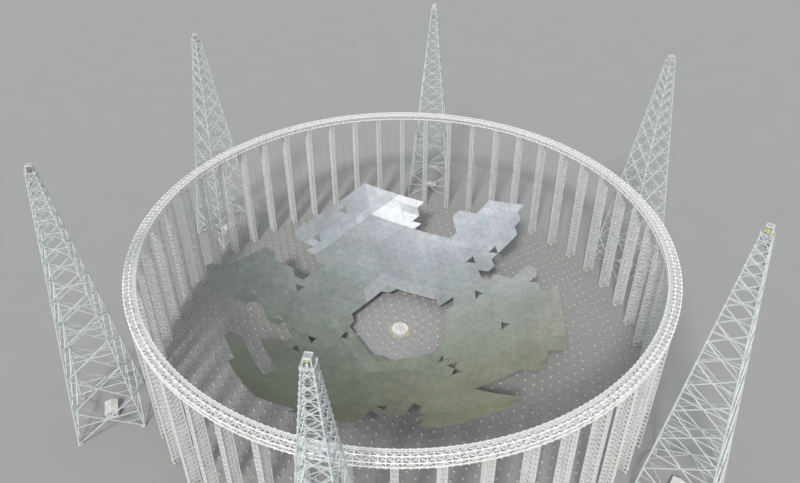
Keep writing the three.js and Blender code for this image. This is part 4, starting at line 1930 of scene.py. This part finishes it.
@dataclass
class WinchHouse(AtTower):
    """The winch building inside a tower's foot, its ridge along the rim and its big door to the dish."""

    seed: int = 17
    deep: float = 12.0
    wide: float = 17.0
    eaves: float = 6.5
    ridge: float = 8.1
    # Walls, roof, gutters and pipes
    wall_inset: float = 0.35
    wall_foot: float = 0.3
    wall_drop: float = 0.25
    plinth: float = 0.45
    roof: float = 0.28
    eave_drop: float = 0.3
    ribs: int = 17
    rib: float = 0.07
    rib_inset: float = 0.5
    rib_insets: tuple[float, float] = (0.1, 0.1)
    rib_drops: tuple[float, float] = (0.01, 0.02)
    gutter: float = 0.14
    gutter_inset: float = 0.08
    gutter_drop: float = 0.35
    pipe: float = 0.09
    pipe_off: float = 0.12
    pipe_inset: float = 0.6
    pipe_drop: float = 0.4
    # Doors, windows and louvres
    door: Size = (0.3, 5.4, 4.6)
    lath: Size = (0.08, 5.2, 0.2)
    lath_off: float = 0.17
    laths: tuple[float, float, float] = (0.75, 5.0, 0.3)
    jamb: Size = (0.5, 0.3, 4.9)
    jamb_place: tuple[float, float] = (2.85, 2.85)
    lintel: Size = (0.5, 6.0, 0.3)
    lintel_height: float = 5.25
    trim_off: float = 0.05
    window_height: float = 3.4
    dish_windows: tuple[float, ...] = (-5.6, 5.6)
    back_windows: tuple[float, ...] = (-5.8, -1.9, 1.9, 5.8)
    end_window: float = -2.2
    end_door: Size = (1.2, 0.3, 2.3)
    end_door_place: tuple[float, float] = (2.6, 1.55)
    louvre: Size = (1.4, 0.14, 0.09)
    louvre_off: float = 0.04
    louvres: tuple[float, float, float] = (5.3, 6.5, 0.2)

    @property
    def half(self) -> float:
        """Half the depth over the walls."""
        return self.deep / 2 - self.wall_inset

    @property
    def end(self) -> float:
        """Half the width over the walls."""
        return self.wide / 2 - self.wall_inset

    def walls(self, shape: Shape) -> None:
        """Adds the walls with their gables, and the plinth.

        Args:
            shape: what gets them.
        """
        half, top = self.half, self.eaves - self.wall_drop
        peak = top + half * (self.ridge - self.eaves) / (self.deep / 2)
        gable = [(-half, self.wall_foot), (half, self.wall_foot), (half, top), (0, peak), (-half, top)]
        shape.prism(gable, -self.end, self.end, True)
        outline = rectangle(self.deep / 2, self.wide / 2, 0)[:, :2]
        shape.prism(outline, 0.0, self.plinth, finish=CONCRETE)

    def roofing(self, shape: Shape) -> None:
        """Adds the roof's two slabs, and the ribs, gutter and pipes of each.

        Args:
            shape: what gets them.
        """
        deep, wide = self.deep / 2, self.wide / 2
        for side in (-1, 1):
            eave = self.eaves - self.eave_drop
            slab = [(side * deep, eave), (side * deep, eave + self.roof), (0, self.ridge),
                    (0, self.ridge - self.roof)]
            shape.prism(slab[::side], -wide, wide, True)
            low, high = self.eaves - self.rib_drops[0], self.ridge - self.rib_drops[1]
            for y in np.linspace(self.rib_inset - wide, wide - self.rib_inset, self.ribs):
                foot = (side * (deep - self.rib_insets[0]), y, low)
                shape.rod(foot, (side * self.rib_insets[1], y, high), self.rib, FINE)
            x, low = side * (deep - self.gutter_inset), self.eaves - self.gutter_drop
            shape.rod((x, -wide, low), (x, wide, low), self.gutter, ROUND, FITTING)
            x = side * (self.half + self.pipe_off)
            for y in (self.pipe_inset - wide, wide - self.pipe_inset):
                top = (x, y, self.eaves - self.pipe_drop)
                shape.rod(top, (x, y, self.plinth), self.pipe, ROUND, FITTING)

    def doorway(self, shape: Shape) -> None:
        """Adds the big slatted door in its frame.

        Args:
            shape: what gets them.
        """
        shape.boxes((-self.half, 0, self.plinth + self.door[2] / 2), self.door, finish=DOOR_PAINT)
        for height in np.arange(*self.laths):
            shape.boxes((-self.half - self.lath_off, 0, height), self.lath, finish=DOOR_PAINT)
        x = -self.half - self.trim_off
        across, height = self.jamb_place
        for side in (-1, 1):
            shape.boxes((x, side * across, height), self.jamb)
        shape.boxes((x, 0, self.lintel_height), self.lintel)

    def openings(self, shape: Shape) -> None:
        """Adds the windows, and a small door and a louvre at each end.

        Args:
            shape: what gets them.
        """
        window = Window()
        for x, places in ((-self.half, self.dish_windows), (self.half, self.back_windows)):
            for y in places:
                window.build(shape, (x, y, self.window_height), True)
        x, height = self.end_door_place
        for side in (-1, 1):
            shape.boxes((x, side * self.end, height), self.end_door, finish=DOOR_PAINT)
            window.build(shape, (self.end_window, side * self.end, self.window_height), False)
            for rise in np.arange(*self.louvres):
                shape.boxes((0, side * (self.end + self.louvre_off), rise), self.louvre, finish=DOOR_PAINT)

    def build(self) -> Pieces:
        """Makes the building's piece.

        Returns:
            The piece in a list.
        """
        house = Shape("winch_building", WHITE_PAINT, self.seed)
        for step in (self.walls, self.roofing, self.doorway, self.openings):
            step(house)
        return self.stand(house, Slot.WHITE_PAINT, "winch_house")


# Docking platform


def edge(radius: float, height: float, bevel: Bevel) -> list[tuple[float, float]]:
    """Two points of a profile at an upper edge, bevelled by so much inwards and downwards."""
    return [(radius, height - bevel[1]), (radius - bevel[0], height)]


@dataclass
class DockingPlatform:
    """The stepped round base and the disc on it, in the middle of the hole."""

    seed: int = 800
    sides: int = 72
    # Step, drum and ring
    step: float = 12.5
    step_top: float = 1.1
    step_bevel: Bevel = (0.12, 0.15)
    drum: float = 10.9
    drum_top: float = 2.2
    drum_bevel: Bevel = (0.12, 0.12)
    ring: float = 9.4
    ring_top: float = 3.4
    ring_bevel: Bevel = (0.14, 0.15)
    # Stairs
    tread: Size = (0.5, 2.4, 0.28)
    treads: int = 4
    tread_run: float = 0.4
    tread_rise: float = 0.275
    tread_start: tuple[float, float] = (0.45, 0.14)
    flights: tuple[float, float] = (60.0, 240.0)
    # Joints, hatches and rail
    joints: int = 24
    joint: Size = (0.12, 0.18, 0.9)
    joint_height: float = 1.65
    hatch: Size = (0.16, 0.5, 0.8)
    hatch_height: float = 2.8
    proud: float = 0.02
    rail_inset: float = 0.35
    rail_posts: int = 36
    rail_post: float = 0.06
    rail_steps: int = 72
    rail: float = 0.05
    rail_high: float = 1.1
    # Disc with its seams, bolts, seats and boss
    disc: float = 6.0
    disc_low: float = 3.406
    disc_top: float = 3.9
    disc_bevel: Bevel = (0.1, 0.12)
    seams: int = 12
    seam: Size = (4.2, 0.12, 0.08)
    seam_place: tuple[float, float] = (3.6, 3.92)
    bolts: int = 48
    bolt: float = 0.09
    bolt_high: float = 0.12
    bolt_inset: float = 0.4
    seats: int = 6
    seat: Size = (1.0, 1.4, 0.3)
    seat_place: tuple[float, float] = (4.3, 4.05)
    boss: float = 1.4
    boss_top: float = 4.08
    boss_bevel: Bevel = (0.15, 0.08)
    boss_sides: int = 36

    @staticmethod
    def spaced(count: int, start: float = 0.0) -> Array:
        """Azimuths of things spaced evenly round the platform, the first at a share of a space."""
        return (np.arange(count) + start) * 360 / count

    def stairs(self, shape: Shape) -> None:
        """Adds two flights of steps up to the drum.

        Args:
            shape: what gets them.
        """
        inset, lift = self.tread_start
        for azimuth in self.flights:
            for tread in range(self.treads):
                centre = polar(self.step - inset - tread * self.tread_run, azimuth,
                               self.step_top + lift + tread * self.tread_rise)
                shape.boxes(centre, self.tread, azimuth)

    def base(self) -> Shape:
        """The concrete steps, the drum with its joints, and the pale ring with hatches and a rail.

        Returns:
            The base's shape.
        """
        shape = Shape("docking_steps", DUSTY_CONCRETE, self.seed)
        shape.turned([(0, 0), (self.step, 0), *edge(self.step, self.step_top, self.step_bevel),
                      (self.drum, self.step_top), *edge(self.drum, self.drum_top, self.drum_bevel),
                      (0, self.drum_top)], self.sides)
        shape.turned([(0, self.drum_top), (self.ring, self.drum_top),
                      *edge(self.ring, self.ring_top, self.ring_bevel), (0, self.ring_top)],
                     self.sides, WHITE_PAINT)
        self.stairs(shape)
        turns = self.spaced(self.joints)
        shape.boxes(polar(self.drum + self.proud, turns, self.joint_height), self.joint, turns, FITTING)
        turns = self.spaced(self.joints, 0.5)
        shape.boxes(polar(self.ring + self.proud, turns, self.hatch_height), self.hatch, turns, FITTING)
        line = self.ring - self.rail_inset
        posts = polar(line, self.spaced(self.rail_posts), self.ring_top)
        shape.bars(posts, posts + [0, 0, self.rail_high], self.rail_post, finish=FITTING)
        turns = np.arange(self.rail_steps + 1) * 360 / self.rail_steps
        for rise in (self.rail_high / 2, self.rail_high):
            shape.path(polar(line, turns, self.ring_top + rise), self.rail, finish=FITTING)
        return shape

    def top(self) -> Shape:
        """The disc with its seams, its bolts, the raised seats and the boss in the middle.

        Returns:
            The disc's shape.
        """
        shape = Shape("docking_disc", WHITE_PAINT, self.seed + 1)
        shape.turned([(0, self.disc_low), (self.disc, self.disc_low),
                      *edge(self.disc, self.disc_top, self.disc_bevel), (0, self.disc_top)],
                     self.sides)
        turns = self.spaced(self.seams)
        place, height = self.seam_place
        shape.boxes(polar(place, turns, height), self.seam, turns, FITTING)
        bolts = polar(self.disc - self.bolt_inset, self.spaced(self.bolts), self.disc_top)
        shape.bars(bolts, bolts + [0, 0, self.bolt_high], self.bolt, ROUND, FITTING)
        turns = self.spaced(self.seats, 0.5)
        place, height = self.seat_place
        shape.boxes(polar(place, turns, height), self.seat, turns, FITTING)
        shape.turned([(0, self.disc_top), (self.boss, self.disc_top),
                      *edge(self.boss, self.boss_top, self.boss_bevel), (0, self.boss_top)],
                     self.boss_sides, GRATING)
        return shape

    def build(self) -> Pieces:
        """Makes the base and the disc."""
        return [dress(self.base(), Slot.CONCRETE, "docking_base"),
                dress(self.top(), Slot.WHITE_PAINT, "docking_platform")]


# Studio


@dataclass
class Studio:
    """Floor, light and colour handling, in the model's own size."""

    floor: float = 400.0
    floor_drop: float = 0.002
    sun: float = 2.6
    sun_soft: float = 9.0
    sun_colour: Colour = (1.0, 0.97, 0.92)
    sun_way: Point = (0.30, 0.64, -0.71)
    sky: float = 0.75
    sky_colour: Colour = (0.9, 0.94, 1.0)

    def ground(self) -> None:
        """Makes the floor."""
        mesh = bpy.data.meshes.new("studio_floor")
        half = self.floor / 2
        mesh.from_pydata(rectangle(half, half, 0).tolist(), [], [(0, 1, 2, 3)])
        mesh.materials.append(FLOOR.material())
        ground = bpy.data.objects.new("studio_floor", mesh)
        ground.location.z = -self.floor_drop
        bpy.context.scene.collection.objects.link(ground)
        ground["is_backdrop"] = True

    def lights(self) -> None:
        """Makes the sun and the sky."""
        light = bpy.data.lights.new("key", "SUN")
        light.energy = self.sun
        light.angle = math.radians(self.sun_soft)
        light.color = self.sun_colour
        key = bpy.data.objects.new("key", light)
        key.rotation_euler = Vector(self.sun_way).to_track_quat("-Z", "Y").to_euler()
        bpy.context.scene.collection.objects.link(key)
        world = bpy.data.worlds.new("studio")
        world.use_nodes = True
        sky = world.node_tree.nodes["Background"]
        sky.inputs["Color"].default_value = (*self.sky_colour, 1.0)
        sky.inputs["Strength"].default_value = self.sky
        bpy.context.scene.world = world

    def build(self) -> None:
        """Makes the stage."""
        self.ground()
        self.lights()
        bpy.context.scene.view_settings.view_transform = "Standard"


@dataclass
class PhotoCamera:
    """The photograph's camera, fitted to the ring and the tower tops, its focal length in pixels."""

    place: Point = (-66.36, -517.81, 518.98)
    yaw: float = 5.9556
    pitch: float = 30.674
    roll: float = -0.8752
    focal: float = 643.29
    shift: tuple[float, float] = (-13.5, -73.05)
    width: float = 800.0
    clip_end: float = 1000.0

    def build(self) -> None:
        """Makes the camera the scene's own."""
        yaw, pitch, roll = (math.radians(angle) for angle in (self.yaw, self.pitch, self.roll))
        level = Vector((math.cos(yaw), -math.sin(yaw), 0.0))
        ahead = Vector((math.sin(yaw), math.cos(yaw), 0.0))
        forward = math.cos(pitch) * ahead - Vector((0.0, 0.0, math.sin(pitch)))
        above = level.cross(forward)
        right = math.cos(roll) * level + math.sin(roll) * above
        above = -math.sin(roll) * level + math.cos(roll) * above
        data = bpy.data.cameras.new("photo_camera")
        data.sensor_fit = "HORIZONTAL"
        data.lens = self.focal / self.width * data.sensor_width
        data.shift_x = -self.shift[0] / self.width
        data.shift_y = self.shift[1] / self.width
        data.clip_end = self.clip_end
        camera = bpy.data.objects.new("photo_camera", data)
        turn = Matrix((right, above, -forward)).transposed().to_4x4()
        camera.matrix_world = Matrix.Translation(Vector(self.place) * METRE) @ turn
        bpy.context.scene.collection.objects.link(camera)
        bpy.context.scene.camera = camera


def main(cad_box: tuple[Vector, Vector]) -> None:
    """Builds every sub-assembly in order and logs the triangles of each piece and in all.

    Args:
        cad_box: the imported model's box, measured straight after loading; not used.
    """
    logging.basicConfig(level=logging.INFO, format="%(message)s")
    PhotoCamera().build()
    Studio().build()
    parts = [*map(RingSector, range(FOLDS)), *map(ColumnRow, range(COLUMN_ROWS)),
             *map(CableNet, range(FOLDS)), *map(Reflector, range(FOLDS)), *map(Tower, range(TOWERS)),
             *map(TowerHead, range(TOWERS)), *map(WinchHouse, range(TOWERS)), DockingPlatform()]
    total = 0
    for part in parts:
        for piece in part.build():
            triangles = sum(len(face.vertices) - 2 for face in piece.data.polygons)
            total += triangles
            LOG.info("%s: %d triangles", piece.name, triangles)
    LOG.info("%d triangles in all", total)
    bpy.context.view_layer.update()


if __name__ == "__main__":
    main(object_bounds())
